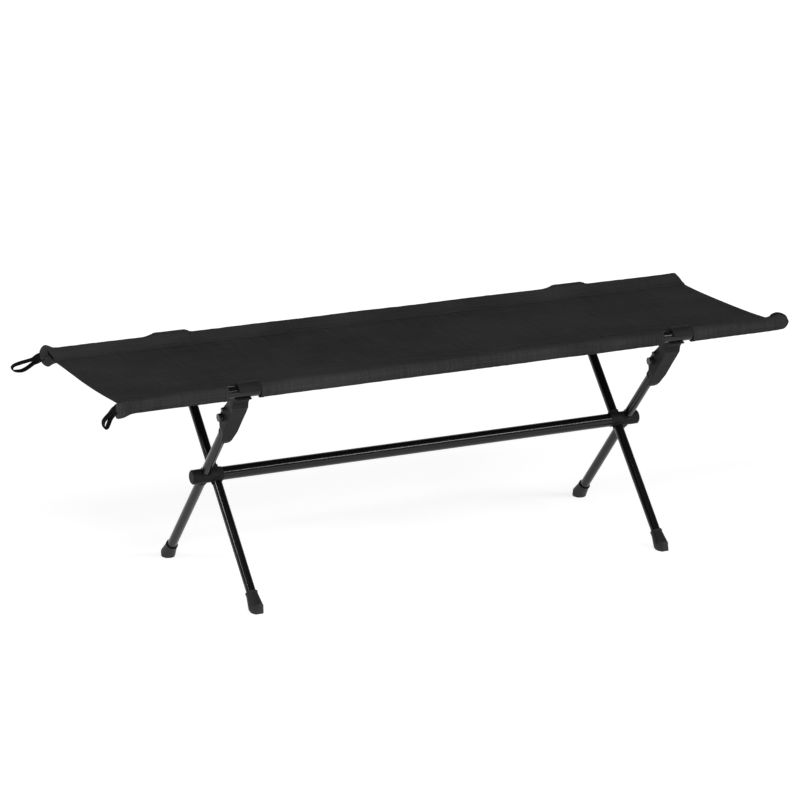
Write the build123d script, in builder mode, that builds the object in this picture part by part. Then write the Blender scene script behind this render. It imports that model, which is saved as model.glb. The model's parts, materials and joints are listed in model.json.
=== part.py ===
"""Folding cot bench: a slung bed on two side poles, carried by crossed legs on one long beam.

X runs along the bed, -Y is the side with the levers, +Z is up. The origin is on the floor, midway
between the four feet. A near leg rises to the near pole (-Y), a far leg to the far pole (+Y).
All sizes are in millimetres and degrees.
"""

import os
from math import cos, radians, sin, sqrt, tan

from build123d import *

os.makedirs("parts", exist_ok=True)

# Stand
hub_height = 184.0
leg_splay = 42.6
leg_reach = 250.0
leg_diameter = 16.0
leg_wall = 1.2
far_leg_plane = 368.5
leg_plane_gap = 3.0

# Beam, hubs and their pivots
beam_diameter = 22.2
beam_wall = 1.5
hub_step = 0.9
hub_edge = 1.2
hub_shoulder = 4.5
spigot_length = 26.0
leg_boss_wall = 1.3
leg_boss_stand = 2.6
bolt_diameter = 6.0
bolt_head_width = 10.0
bolt_head_height = 4.0
washer_thickness = 0.8
head_room = 2.1
pocket_wall = 1.5
cap_height = 3.2
cap_plug_depth = 2.0
nut_height = 5.0
nut_thread_stand = 2.0

# Feet
foot_length = 36.0
foot_top_wall = 1.6
foot_toe_wall = 4.5
foot_sole_wall = 0.5
foot_rim_height = 3.0
foot_rim_stand = 0.6
foot_toe_height = 9.0
foot_floor_wall = 5.0

# Side poles
pole_diameter = 20.0
pole_wall = 1.3
pole_sections = 3
ferrule_length = 60.0
ferrule_wall = 1.0
tip_flange = 3.0
pole_end_gap = 2.0
tip_plug_length = 14.0
cord_diameter = 3.0

# Pole hooks and far saddles, with distances measured down the leg from the pole centre
hook_wall = 4.3
saddle_hook_width = 46.0
lever_hook_width = 37.0
lever_hook_shift = 7.5
hook_snap = 5.0
mouth_turn = 17.0
saddle_neck_thickness = 17.0
saddle_neck_width = 30.0
saddle_socket_wall = 2.2
saddle_tube_stop = 24.0
saddle_socket_depth = 32.0
rivet_diameter = 3.0
rivet_head_diameter = 6.5
rivet_head_height = 1.4

# Lever brackets and levers, with heights measured from the lever's pin
pin_distance = 80.0
pin_offset = 5.0
pin_diameter = 5.0
pin_head_diameter = 13.0
pin_head_height = 6.5
pin_tail_diameter = 8.0
pin_tail_height = 2.6
tube_below_pin = 12.0
bracket_socket_depth = 26.0
bracket_socket_wall = 1.5
bracket_boss_diameter = 17.0
tongue_gap = 1.35
stop_above_pin = 18.0
stop_offset = 8.0
stop_diameter = 4.0
stop_head_diameter = 7.0
stop_head_height = 4.5
lever_floor = 4.2
lever_cheek = 2.8
lever_head_width = 27.0
lever_head_shift = 1.5
lever_head_depth = 28.0
lever_head_taper = 18.0
lever_pocket_drop = 12.0
lip_groove = 5.0
lip_groove_height = 5.0
hook_neck_top = 6.0
hook_neck_drop = 8.0
cheek_below_pin = 32.0
cheek_rim = 1.0
cheek_fade = 4.0
tip_below_pin = 50.0
tip_width = 15.0
tip_stand = 1.6
tip_taper = 10.0
tip_round = 6.0
lever_round = 4.0
hook_edge = 1.0

# Sling
sleeve_length = 1200.0
sleeve_gap = 0.6
cloth = 1.4
seam_band = 5.0
seam_drop = 2.5
window_margin = 4.5
window_clearance = 5.4
sheet_sag = 4.0
sheet_thickness = 1.8
sheet_left_inset = 14.0
sheet_near_inset = 10.0
sheet_far_inset = 22.0
sheet_end_curve = 2.0
far_end_slant = 26.0
near_lobe_diameter = 30.0
near_lobe_width = 12.0
near_lobe_inset = 17.0
near_lobe_rise = 3.4
far_flat_height = 36.0
near_flat_height = 25.0
near_flat_drop = 5.5
flat_end_length = 12.0
flat_end_taper = 16.0

# Pull loops at the left end
webbing_width = 10.0
webbing = 1.8
far_loop_length = 40.0
far_loop_angle = 16.0
far_loop_diameter = 17.0
near_loop_length = 30.0
near_loop_angle = 58.0
near_loop_diameter = 13.0
loop_stem = 13.0

# Clearances
slip = 0.05
turn_gap = 0.3
washer_gap = 0.1
head_gap = 0.4

# Derived places
splay_sin = sin(radians(leg_splay))
splay_cos = cos(radians(leg_splay))
pole_y = leg_reach * splay_sin
pole_z = hub_height + leg_reach * splay_cos
floor_reach = hub_height / splay_cos
leg_radius = leg_diameter / 2
near_leg_plane = far_leg_plane + leg_diameter + leg_plane_gap
parting = (near_leg_plane + far_leg_plane) / 2
hub_radius = beam_diameter / 2 + hub_step
hub_inner = far_leg_plane - leg_radius - hub_shoulder
washer_near = near_leg_plane + leg_radius + pocket_wall + washer_gap
head_near = washer_near + washer_thickness
head_pocket = bolt_head_width / sqrt(3) + head_gap
pocket_floor = washer_near - washer_gap
knuckle_end = head_near + bolt_head_height + head_room + cap_plug_depth
nut_face = hub_inner - spigot_length
tube_end = floor_reach - (foot_floor_wall + leg_radius * splay_sin) / splay_cos
pole_radius = pole_diameter / 2
hook_bore = pole_radius + turn_gap
hook_radius = hook_bore + hook_wall
hook_mouth = pole_diameter - hook_snap
socket_radius = leg_radius + slip + saddle_socket_wall
saddle_socket_end = saddle_tube_stop + saddle_socket_depth
rivet_distance = saddle_tube_stop + saddle_socket_depth / 2
bracket_tube_stop = pin_distance + tube_below_pin
bracket_socket_end = bracket_tube_stop + bracket_socket_depth
bracket_radius = leg_radius + slip + bracket_socket_wall
pin_boss = bracket_boss_diameter / 2
lever_inner = bracket_radius + turn_gap
lever_outer = lever_inner + lever_floor
cheek_face = lever_inner + lever_cheek
stop_distance = pin_distance - stop_above_pin
cheek_end = pin_distance + cheek_below_pin
tip_distance = pin_distance + tip_below_pin
sleeve_bore = pole_radius + sleeve_gap
sleeve_radius = sleeve_bore + cloth
sleeve_half = sleeve_length / 2
pole_half = sleeve_half - flat_end_length - flat_end_taper - pole_end_gap - tip_flange
pole_stop = pole_half + tip_flange + pole_end_gap
window_radius = hook_radius + window_clearance
seam_distance = window_radius + seam_band
seam_y = pole_y - seam_distance
seam_z = pole_z - seam_drop

NEAR, FAR = -1, 1
ENDS = {"left": -1, "right": 1}
hub_section = Plane(origin=(0, 0, hub_height), x_dir=(1, 0, 0), z_dir=(0, -1, 0))
beam_axis = Axis((0, 0, hub_height), (1, 0, 0))


def leg_plane(end: int, side: int) -> float:
    """X of the plane that a leg lies in."""
    return end * (near_leg_plane if side == NEAR else far_leg_plane)


def leg_side(end: int, side: int) -> Plane:
    """Plane of a leg: local x points outwards and down, local y up the leg, from the hub."""
    return Plane(
        origin=(leg_plane(end, side), 0, hub_height),
        x_dir=(0, side * splay_cos, -splay_sin),
        z_dir=(side, 0, 0),
    )


def leg_front(end: int, side: int) -> Plane:
    """Plane square to a leg's outer side: local x along the bed, local y up the leg."""
    return Plane(
        origin=(leg_plane(end, side), 0, hub_height),
        x_dir=(-side, 0, 0),
        z_dir=(0, side * splay_cos, -splay_sin),
    )


def leg_cross(end: int, side: int) -> Plane:
    """Plane square to a leg at the hub."""
    return Plane(
        origin=(leg_plane(end, side), 0, hub_height),
        x_dir=(1, 0, 0),
        z_dir=(0, side * splay_sin, splay_cos),
    )


def leg_axis(end: int, side: int) -> Axis:
    """Line up the middle of a leg."""
    return Axis((leg_plane(end, side), 0, hub_height), (0, side * splay_sin, splay_cos))


def down(distance: float) -> float:
    """Height up the leg from the hub, for a distance down from the pole centre."""
    return leg_reach - distance


def save(piece: BuildPart, name: str) -> None:
    """Label a finished piece and write it."""
    piece.part.label = name
    export_step(piece.part, f"parts/{name}.step")


# Beam and hubs
with BuildPart() as beam:
    with BuildSketch(Plane.YZ.offset(-hub_inner)):
        with Locations((0, hub_height)):
            Circle(beam_diameter / 2)
            Circle(beam_diameter / 2 - beam_wall, mode=Mode.SUBTRACT)
    extrude(amount=2 * hub_inner)
save(beam, "beam_tube")


def bore_hub(end: int, side: int) -> None:
    """Raise a collar round a leg's way through a hub and bore it, in the open part."""
    with BuildSketch(leg_cross(end, side)) as outline:
        Circle(leg_radius + leg_boss_wall)
    extrude(outline.sketch, amount=hub_radius + leg_boss_stand, both=True)
    with BuildSketch(leg_cross(end, side)) as outline:
        Circle(leg_radius + slip)
    extrude(outline.sketch, amount=2 * hub_radius, both=True, mode=Mode.SUBTRACT)


def bore_bolt(end: int) -> None:
    """Bore the pivot bolt's hole along the beam axis, in the open part."""
    with BuildSketch(Plane.YZ) as outline:
        with Locations((0, hub_height)):
            Circle(bolt_diameter / 2 + slip)
    extrude(outline.sketch, amount=end * (knuckle_end + cap_height), mode=Mode.SUBTRACT)


def turn_profile(points: list[tuple[float, float]], end: int) -> None:
    """Revolve an outline of distances along the beam and radii about the beam axis."""
    with BuildSketch(hub_section) as outline:
        with BuildLine():
            Polyline([(end * x, r) for x, r in points], close=True)
        make_face()
    revolve(outline.sketch, axis=beam_axis)


for end_name, end in ENDS.items():
    spigot_radius = beam_diameter / 2 - beam_wall - slip
    hub_face = parting - turn_gap / 2
    with BuildPart() as hub:
        turn_profile(
            [
                (hub_inner - spigot_length, 0),
                (hub_inner - spigot_length, spigot_radius),
                (hub_inner, spigot_radius),
                (hub_inner, hub_radius - hub_edge),
                (hub_inner + hub_edge, hub_radius),
                (hub_face, hub_radius),
                (hub_face, 0),
            ],
            end,
        )
        bore_hub(end, FAR)
        bore_bolt(end)
    save(hub, f"hub_{end_name}")

    knuckle_face = parting + turn_gap / 2
    with BuildPart() as knuckle:
        turn_profile(
            [
                (knuckle_face, 0),
                (knuckle_face, hub_radius),
                (knuckle_end, hub_radius),
                (knuckle_end, head_pocket),
                (pocket_floor, head_pocket),
                (pocket_floor, 0),
            ],
            end,
        )
        bore_hub(end, NEAR)
        bore_bolt(end)
    save(knuckle, f"knuckle_{end_name}")

with BuildPart() as caps:
    for end in ENDS.values():
        plug_radius = head_pocket - slip
        turn_profile(
            [
                (knuckle_end - cap_plug_depth, 0),
                (knuckle_end - cap_plug_depth, plug_radius),
                (knuckle_end, plug_radius),
                (knuckle_end, hub_radius),
                (knuckle_end + cap_height / 2, hub_radius),
                (knuckle_end + cap_height, hub_radius - cap_height / 2),
                (knuckle_end + cap_height, 0),
            ],
            end,
        )
save(caps, "hub_caps")

# The bolt's head and washer sit in the knuckle's pocket, its nut behind the hub's spigot
with BuildPart() as bolts:
    for end in ENDS.values():
        bolt_tail = nut_face - nut_height - nut_thread_stand
        with BuildSketch(Plane.YZ.offset(end * bolt_tail)):
            with Locations((0, hub_height)):
                Circle(bolt_diameter / 2)
        extrude(amount=end * (head_near - bolt_tail))
        with BuildSketch(Plane.YZ.offset(end * head_near)):
            with Locations((0, hub_height)):
                RegularPolygon(bolt_head_width / 2, 6, major_radius=False)
        extrude(amount=end * bolt_head_height)
save(bolts, "pivot_bolts")

with BuildPart() as washers:
    for end in ENDS.values():
        with BuildSketch(Plane.YZ.offset(end * washer_near)):
            with Locations((0, hub_height)):
                Circle(bolt_head_width / 2)
                Circle(bolt_diameter / 2 + slip, mode=Mode.SUBTRACT)
        extrude(amount=end * washer_thickness)
save(washers, "pivot_washers")

with BuildPart() as nuts:
    for end in ENDS.values():
        with BuildSketch(Plane.YZ.offset(end * nut_face)):
            with Locations((0, hub_height)):
                RegularPolygon(bolt_head_width / 2, 6, major_radius=False)
                Circle(bolt_diameter / 2 + slip, mode=Mode.SUBTRACT)
        extrude(amount=-end * nut_height)
save(nuts, "pivot_nuts")


# Legs and feet
def drill_rivet(end: int) -> None:
    """Drill a far saddle's rivet hole along the bed, in the open part."""
    with BuildSketch(leg_side(end, FAR)) as outline:
        with Locations((0, down(rivet_distance))):
            Circle(rivet_diameter / 2 + slip)
    extrude(outline.sketch, amount=saddle_hook_width, both=True, mode=Mode.SUBTRACT)


def make_leg(name: str, end: int, side: int, top: float) -> None:
    """A straight leg tube from inside its foot to its top fitting, drilled for the pivot bolt."""
    with BuildPart() as leg:
        with BuildSketch(leg_side(end, side)):
            with Locations((leg_radius - leg_wall / 2, (top - tube_end) / 2)):
                Rectangle(leg_wall, top + tube_end)
        revolve(axis=leg_axis(end, side))
        with BuildSketch(Plane.YZ.offset(leg_plane(end, side))):
            with Locations((0, hub_height)):
                Circle(bolt_diameter / 2 + turn_gap)
        extrude(amount=leg_diameter, both=True, mode=Mode.SUBTRACT)
        if side == FAR:
            drill_rivet(end)
    save(leg, name)


def make_foot(name: str, end: int, side: int) -> None:
    """A rubber boot over a leg's lower end, wider towards its toe and cut flat on the floor."""
    top = foot_length - floor_reach
    toe = foot_toe_height - floor_reach
    upper = leg_radius + foot_top_wall
    widest = leg_radius + foot_toe_wall
    bottom = -floor_reach - widest * tan(radians(leg_splay)) / 2
    bore = leg_radius + slip
    rim = upper + foot_rim_stand
    with BuildPart() as foot:
        with BuildSketch(leg_side(end, side)):
            with BuildLine():
                Polyline(
                    (bore, top),
                    (rim, top),
                    (rim, top - foot_rim_height),
                    (upper, top - foot_rim_height - foot_rim_stand),
                    (widest, toe),
                    (widest - foot_rim_stand, toe - foot_rim_height / 2),
                    (leg_radius + foot_sole_wall, bottom),
                    (0, bottom),
                    (0, -tube_end),
                    (bore, -tube_end),
                    close=True,
                )
            make_face()
        revolve(axis=leg_axis(end, side))
        split(bisect_by=Plane.XY, keep=Keep.TOP)
    save(foot, name)


for end_name, end in ENDS.items():
    make_leg(f"near_leg_{end_name}", end, NEAR, down(bracket_tube_stop))
    make_leg(f"far_leg_{end_name}", end, FAR, down(saddle_tube_stop))
    make_foot(f"near_leg_foot_{end_name}", end, NEAR)
    make_foot(f"far_leg_foot_{end_name}", end, FAR)


# Far saddles, fixed on the far legs
def cut_seat(end: int, side: int) -> None:
    """Cut the pole's seat and the mouth that it snaps in by, in the open part."""
    with BuildSketch(leg_side(end, side)) as outline:
        with Locations((0, leg_reach)):
            Circle(hook_bore)
            Rectangle(2 * hook_radius, hook_mouth, mouth_turn, (Align.MIN, Align.CENTER))
    extrude(outline.sketch, amount=saddle_hook_width, both=True, mode=Mode.SUBTRACT)


for end_name, end in ENDS.items():
    with BuildPart() as saddle:
        with BuildSketch(leg_side(end, FAR)):
            with Locations((0, leg_reach)):
                Circle(hook_radius)
        extrude(amount=saddle_hook_width / 2, both=True)
        with BuildSketch(leg_side(end, FAR)):
            with Locations((0, down(saddle_tube_stop / 2))):
                Rectangle(saddle_neck_thickness, saddle_tube_stop)
        extrude(amount=saddle_neck_width / 2, both=True)
        with BuildSketch(leg_cross(end, FAR).offset(down(saddle_socket_end))):
            Circle(socket_radius)
        extrude(amount=saddle_socket_end - saddle_tube_stop / 2)
        with BuildSketch(leg_cross(end, FAR).offset(down(saddle_socket_end))):
            Circle(leg_radius + slip)
        extrude(amount=saddle_socket_end - saddle_tube_stop, mode=Mode.SUBTRACT)
        cut_seat(end, FAR)
        drill_rivet(end)
    save(saddle, f"far_saddle_{end_name}")

with BuildPart() as saddle_rivets:
    for end in ENDS.values():
        with BuildSketch(leg_side(end, FAR)):
            with Locations((0, down(rivet_distance))):
                Circle(rivet_diameter / 2)
        extrude(amount=socket_radius, both=True)
        for face in (-1, 1):
            with BuildSketch(leg_side(end, FAR).offset(face * socket_radius)):
                with Locations((0, down(rivet_distance))):
                    Circle(rivet_head_diameter / 2)
            extrude(amount=face * rivet_head_height)
save(saddle_rivets, "saddle_rivets")


# Lever brackets on the near legs: a socket over the tube's end with a boss for the lever's pin
def drill_pin(end: int, hole: float) -> None:
    """Drill the lever pin's hole along the bed, in the open part."""
    with BuildSketch(leg_side(end, NEAR)) as outline:
        with Locations((-pin_offset, down(pin_distance))):
            Circle(hole)
    extrude(outline.sketch, amount=saddle_hook_width, both=True, mode=Mode.SUBTRACT)


for end_name, end in ENDS.items():
    cap_distance = (pin_distance + bracket_tube_stop) / 2
    with BuildPart() as bracket:
        with BuildSketch(leg_cross(end, NEAR).offset(down(bracket_socket_end))):
            Circle(bracket_radius)
        extrude(amount=bracket_socket_end - cap_distance)
        with BuildSketch(leg_cross(end, NEAR).offset(down(bracket_socket_end))):
            Circle(leg_radius + slip)
        extrude(amount=bracket_socket_end - bracket_tube_stop, mode=Mode.SUBTRACT)
        with BuildSketch(leg_side(end, NEAR)):
            with Locations((-pin_offset, down(pin_distance))):
                Circle(pin_boss)
            with Locations((0, down((cap_distance + bracket_tube_stop) / 2))):
                Rectangle(2 * bracket_radius, bracket_tube_stop - cap_distance)
            make_hull()
        extrude(amount=lever_inner - tongue_gap, both=True)
        drill_pin(end, pin_diameter / 2 + slip)
    save(bracket, f"lever_bracket_{end_name}")

with BuildPart() as pins:
    pin_head = cheek_face + turn_gap
    for end in ENDS.values():
        for reach, low, radius in (
            (pin_head, 0, pin_diameter / 2),
            (-pin_head, 0, pin_diameter / 2),
            (pin_head_height, pin_head, pin_head_diameter / 2),
            (-pin_tail_height, -pin_head, pin_tail_diameter / 2),
        ):
            with BuildSketch(leg_side(end, NEAR).offset(low)):
                with Locations((-pin_offset, down(pin_distance))):
                    Circle(radius)
            extrude(amount=reach)
save(pins, "lever_pins")

# Levers with their pole hooks: the side outline, cut to the front outline, then hollowed
tip_outer = lever_outer + tip_stand
pocket_top = lever_head_depth + lever_pocket_drop
groove_floor = lever_outer - lip_groove
groove_top = hook_mouth / 2
side_outline = [
    (groove_floor, groove_top),
    (groove_floor, hook_radius + lip_groove_height),
    (lever_outer, lever_head_depth),
    (lever_outer, stop_distance),
    (tip_outer, tip_distance - tip_taper),
    (lever_outer, tip_distance),
    (lever_inner + cheek_rim, tip_distance),
    (lever_inner, cheek_end + cheek_fade),
    (lever_inner / 2, cheek_end),
    (-pin_offset, pin_distance + 2 * pin_boss),
    (cheek_rim - pin_offset - pin_boss, pin_distance + pin_boss),
    (-pin_offset - pin_boss, pin_distance),
    (-stop_offset - stop_head_diameter / 2 - cheek_rim, stop_distance),
    (-stop_offset, pocket_top),
    (-saddle_neck_thickness / 2, groove_top),
]
head_right = lever_head_width / 2 - lever_head_shift
head_left = -lever_head_width / 2 - lever_head_shift
hook_right = lever_hook_width / 2 + lever_hook_shift
hook_left = -lever_hook_width / 2 + lever_hook_shift
hook_neck_end = hook_neck_drop - hook_neck_top
paddle_outline = [
    (cheek_face, lever_head_depth + lever_head_taper),
    (cheek_face, pin_distance + 2 * pin_boss),
    (tip_width / 2, tip_distance),
]
right_outline = [
    (hook_right, -2 * hook_radius),
    (hook_right, -hook_neck_top),
    (head_right, hook_neck_end),
    (head_right, lever_head_depth),
] + paddle_outline
left_outline = [
    (hook_left, -2 * hook_radius),
    (hook_left, -hook_neck_top),
    (head_left, hook_neck_end),
    (head_left, lever_head_depth),
] + [(-x, s) for x, s in paddle_outline]
for end_name, end in ENDS.items():
    with BuildPart() as lever:
        with BuildSketch(leg_side(end, NEAR)):
            with BuildLine():
                Polyline([(out, down(s)) for out, s in side_outline], close=True)
            make_face()
            with Locations((0, leg_reach)):
                Circle(hook_radius)
        extrude(amount=saddle_hook_width, both=True)
        with BuildSketch(leg_front(end, NEAR)) as front:
            with BuildLine():
                round_points = right_outline + left_outline[::-1]
                Polyline([(x, down(s)) for x, s in round_points], close=True)
            make_face()
            rows = front.vertices().group_by(Axis.Y)
            fillet([corner for row in rows[1:-1] for corner in row], lever_round)
            fillet(front.vertices().group_by(Axis.Y)[0], tip_round)
        extrude(amount=leg_reach, both=True, mode=Mode.INTERSECT)
        with BuildSketch(leg_side(end, NEAR)):
            pocket = [
                (lever_inner, pocket_top),
                (lever_inner, tip_distance),
                (-leg_reach, tip_distance),
                (-leg_reach, pocket_top),
            ]
            with BuildLine():
                Polyline([(out, down(s)) for out, s in pocket], close=True)
            make_face()
        extrude(amount=lever_inner, both=True, mode=Mode.SUBTRACT)
        cut_seat(end, NEAR)
        drill_pin(end, pin_diameter / 2 + slip)
        with BuildSketch(leg_side(end, NEAR)):
            with Locations((-stop_offset, down(stop_distance))):
                Circle(stop_diameter / 2 + slip)
        extrude(amount=saddle_hook_width, both=True, mode=Mode.SUBTRACT)
        rings = lever.edges().filter_by(GeomType.CIRCLE)
        fillet(rings.filter_by(lambda edge: abs(edge.radius - hook_radius) < slip), hook_edge)
    save(lever, f"lever_{end_name}")

with BuildPart() as stops:
    for end in ENDS.values():
        with BuildSketch(leg_side(end, NEAR)):
            with Locations((-stop_offset, down(stop_distance))):
                Circle(stop_diameter / 2)
        extrude(amount=cheek_face, both=True)
        for face in (-1, 1):
            with BuildSketch(leg_side(end, NEAR).offset(face * cheek_face)):
                with Locations((-stop_offset, down(stop_distance))):
                    Circle(stop_head_diameter / 2)
            extrude(amount=face * stop_head_height)
save(stops, "lever_stop_pins")


# Side poles: tube sections on inner ferrules, drawn together by an elastic cord
def ring(x: float, length: float, side: int, outer: float, inner: float) -> None:
    """A tube or, with no inner radius, a rod along a side pole's axis, in the open part."""
    with BuildSketch(Plane.YZ.offset(x)) as outline:
        with Locations((side * pole_y, pole_z)):
            Circle(outer)
            if inner:
                Circle(inner, mode=Mode.SUBTRACT)
    extrude(outline.sketch, amount=length)


section_length = 2 * pole_half / pole_sections
pole_bore = pole_radius - pole_wall
for side_name, side in {"near": NEAR, "far": FAR}.items():
    for index in range(pole_sections):
        with BuildPart() as section:
            ring(-pole_half + index * section_length, section_length, side, pole_radius, pole_bore)
        save(section, f"{side_name}_pole_section_{index + 1}")
    with BuildPart() as ferrules:
        for index in range(1, pole_sections):
            middle = -pole_half + index * section_length
            outer = pole_bore - slip
            ring(middle - ferrule_length / 2, ferrule_length, side, outer, outer - ferrule_wall)
    save(ferrules, f"{side_name}_pole_ferrules")
    with BuildPart() as tips:
        for end in ENDS.values():
            inner_face = end * (pole_half - tip_plug_length)
            ring(inner_face, end * tip_plug_length, side, pole_bore - slip, 0)
            ring(end * pole_half, end * tip_flange, side, pole_radius, 0)
    save(tips, f"{side_name}_pole_tips")
    with BuildPart() as cord:
        cord_half = pole_half - tip_plug_length
        ring(-cord_half, 2 * cord_half, side, cord_diameter / 2, 0)
    save(cord, f"{side_name}_pole_cord")


# Sling: a sleeve round each pole and the sheet between their seams
def make_sleeve(name: str, side: int, flat_height: float, flat_drop: float) -> None:
    """A sewn tunnel with a window at each hook, its left end sewn flat and its right end closed."""
    left = -sleeve_half + flat_end_length + flat_end_taper
    right = sleeve_half - sleeve_radius if side == NEAR else pole_stop
    slant = radians(far_end_slant)
    far_end = pole_stop + 2 * cloth + 2 * sleeve_radius * tan(slant)
    outer_end = right if side == NEAR else far_end
    centre = (side * pole_y, pole_z)
    flat_centre = (side * pole_y, pole_z - flat_drop)
    pinch = (side * (pole_y - window_radius + sheet_thickness / 2), pole_z - seam_drop / 2)
    with BuildPart() as sleeve:
        with BuildSketch(Plane.YZ.offset(left)):
            with Locations(centre):
                Circle(sleeve_radius)
            with Locations((side * seam_y, seam_z)):
                Circle(sheet_thickness / 2)
            make_hull()
        extrude(amount=outer_end - left)
        if side == NEAR:
            with BuildSketch(Plane.XZ.offset(-side * pole_y)):
                with Locations((sleeve_half - near_lobe_inset, pole_z + near_lobe_rise)):
                    Circle(near_lobe_diameter / 2)
            extrude(amount=near_lobe_width / 2, both=True)
        else:
            top = (pole_stop + 2 * cloth, 0, pole_z + sleeve_radius)
            slanted = Plane(origin=top, x_dir=(0, 1, 0), z_dir=(cos(slant), 0, sin(slant)))
            split(bisect_by=slanted, keep=Keep.BOTTOM)
        with BuildSketch(Plane.YZ.offset(left)):
            with Locations(centre):
                Circle(sleeve_bore)
            with Locations(pinch):
                Circle(sheet_thickness / 4)
            make_hull()
        extrude(amount=right - left, mode=Mode.SUBTRACT)
        window = saddle_hook_width + 2 * window_margin
        for end in ENDS.values():
            with BuildSketch(Plane.YZ.offset(leg_plane(end, side) - window / 2)):
                with Locations(centre):
                    Circle(window_radius)
            extrude(amount=window, mode=Mode.SUBTRACT)
        with BuildSketch(Plane.YZ.offset(left)):
            with Locations(centre):
                Circle(sleeve_radius)
        with BuildSketch(Plane.YZ.offset(left - flat_end_taper)):
            with Locations(flat_centre):
                SlotOverall(flat_height, 2 * cloth, rotation=90)
        loft()
        with BuildSketch(Plane.YZ.offset(-sleeve_half)):
            with Locations(flat_centre):
                SlotOverall(flat_height, 2 * cloth, rotation=90)
        extrude(amount=flat_end_length)
        if side == NEAR:
            with BuildSketch(Plane.XZ.offset(-side * pole_y)):
                with Locations((right, pole_z)):
                    Circle(sleeve_radius)
                with Locations((right - sleeve_radius, pole_z)):
                    Rectangle(2 * sleeve_radius, 2 * sleeve_radius, mode=Mode.SUBTRACT)
                with Locations((right, pole_z - sleeve_radius)):
                    Rectangle(2 * sleeve_radius, 2 * sleeve_radius, mode=Mode.SUBTRACT)
            revolve(axis=Axis((0, side * pole_y, pole_z), (1, 0, 0)))
    save(sleeve, name)


make_sleeve("near_sleeve", NEAR, near_flat_height, near_flat_drop)
make_sleeve("far_sleeve", FAR, far_flat_height, 0)

near_edge = -(seam_y - sheet_thickness / 2 - turn_gap)
far_edge = seam_y - sheet_thickness / 2
sheet_left = sheet_left_inset - sleeve_half
sheet_near = sleeve_half - sheet_near_inset
sheet_far = sleeve_half - sheet_far_inset
sheet_mid = (sheet_near + sheet_far) / 2 - sheet_end_curve
with BuildPart() as sheet:
    with BuildSketch(Plane.YZ.offset(sheet_left)):
        with BuildLine():
            upper = seam_z + sheet_thickness / 2
            lower = seam_z - sheet_thickness / 2
            ThreePointArc((near_edge, upper), (0, upper - sheet_sag), (far_edge, upper))
            Line((far_edge, upper), (far_edge, lower))
            ThreePointArc((far_edge, lower), (0, lower - sheet_sag), (near_edge, lower))
            Line((near_edge, lower), (near_edge, upper))
        make_face()
    extrude(amount=sheet_near - sheet_left)
    with BuildSketch(Plane.XY):
        with BuildLine():
            ThreePointArc((sheet_near, -seam_y), (sheet_mid, 0), (sheet_far, seam_y))
            Line((sheet_far, seam_y), (sheet_left, seam_y))
            ThreePointArc((sheet_left, seam_y), (sheet_left + sheet_end_curve, 0), (sheet_left, -seam_y))
            Line((sheet_left, -seam_y), (sheet_near, -seam_y))
        make_face()
    extrude(amount=2 * pole_z, mode=Mode.INTERSECT)
save(sheet, "sling_sheet")


# Pull loops of webbing at the left end
def make_loop(name: str, side: int, angle: float, length: float, width: float) -> None:
    """A folded strip of webbing: a doubled stem from the sleeve's flat end, then an open loop."""
    course = Plane(
        origin=(-sleeve_half, side * pole_y, pole_z),
        x_dir=(-cos(radians(angle)), 0, -sin(radians(angle))),
        z_dir=(0, 1, 0),
    )
    with BuildPart() as loop:
        with BuildSketch(course):
            with Locations((loop_stem, 0)):
                Circle(webbing)
            with Locations((length, 0)):
                Circle(width / 2)
            make_hull()
        extrude(amount=webbing_width / 2, both=True)
        with BuildSketch(course):
            with Locations((loop_stem + webbing, 0)):
                Circle(webbing / 4)
            with Locations((length, 0)):
                Circle(width / 2 - webbing)
            make_hull()
        extrude(amount=webbing_width / 2, both=True, mode=Mode.SUBTRACT)
        with BuildSketch(course):
            Rectangle(2 * loop_stem, 2 * webbing)
        extrude(amount=webbing_width / 2, both=True)
        split(bisect_by=Plane.YZ.offset(-sleeve_half), keep=Keep.BOTTOM)
    save(loop, name)


make_loop("far_pull_loop", FAR, far_loop_angle, far_loop_length, far_loop_diameter)
make_loop("near_pull_loop", NEAR, near_loop_angle, near_loop_length, near_loop_diameter)
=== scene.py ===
"""Looks of a folding cot bench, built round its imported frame.

The cloth sling, its seams and pull loops are modelled here, and the rigid pieces of the frame get their
finishes. All sizes are metres in the frame's own axes: X along the bed, -Y the side with the levers, +Z up.
"""

from __future__ import annotations

import json
import logging
import math
from dataclasses import dataclass, field
from enum import Enum
from typing import Sequence

import bpy
import numpy as np
from mathutils import Matrix, Vector

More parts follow.
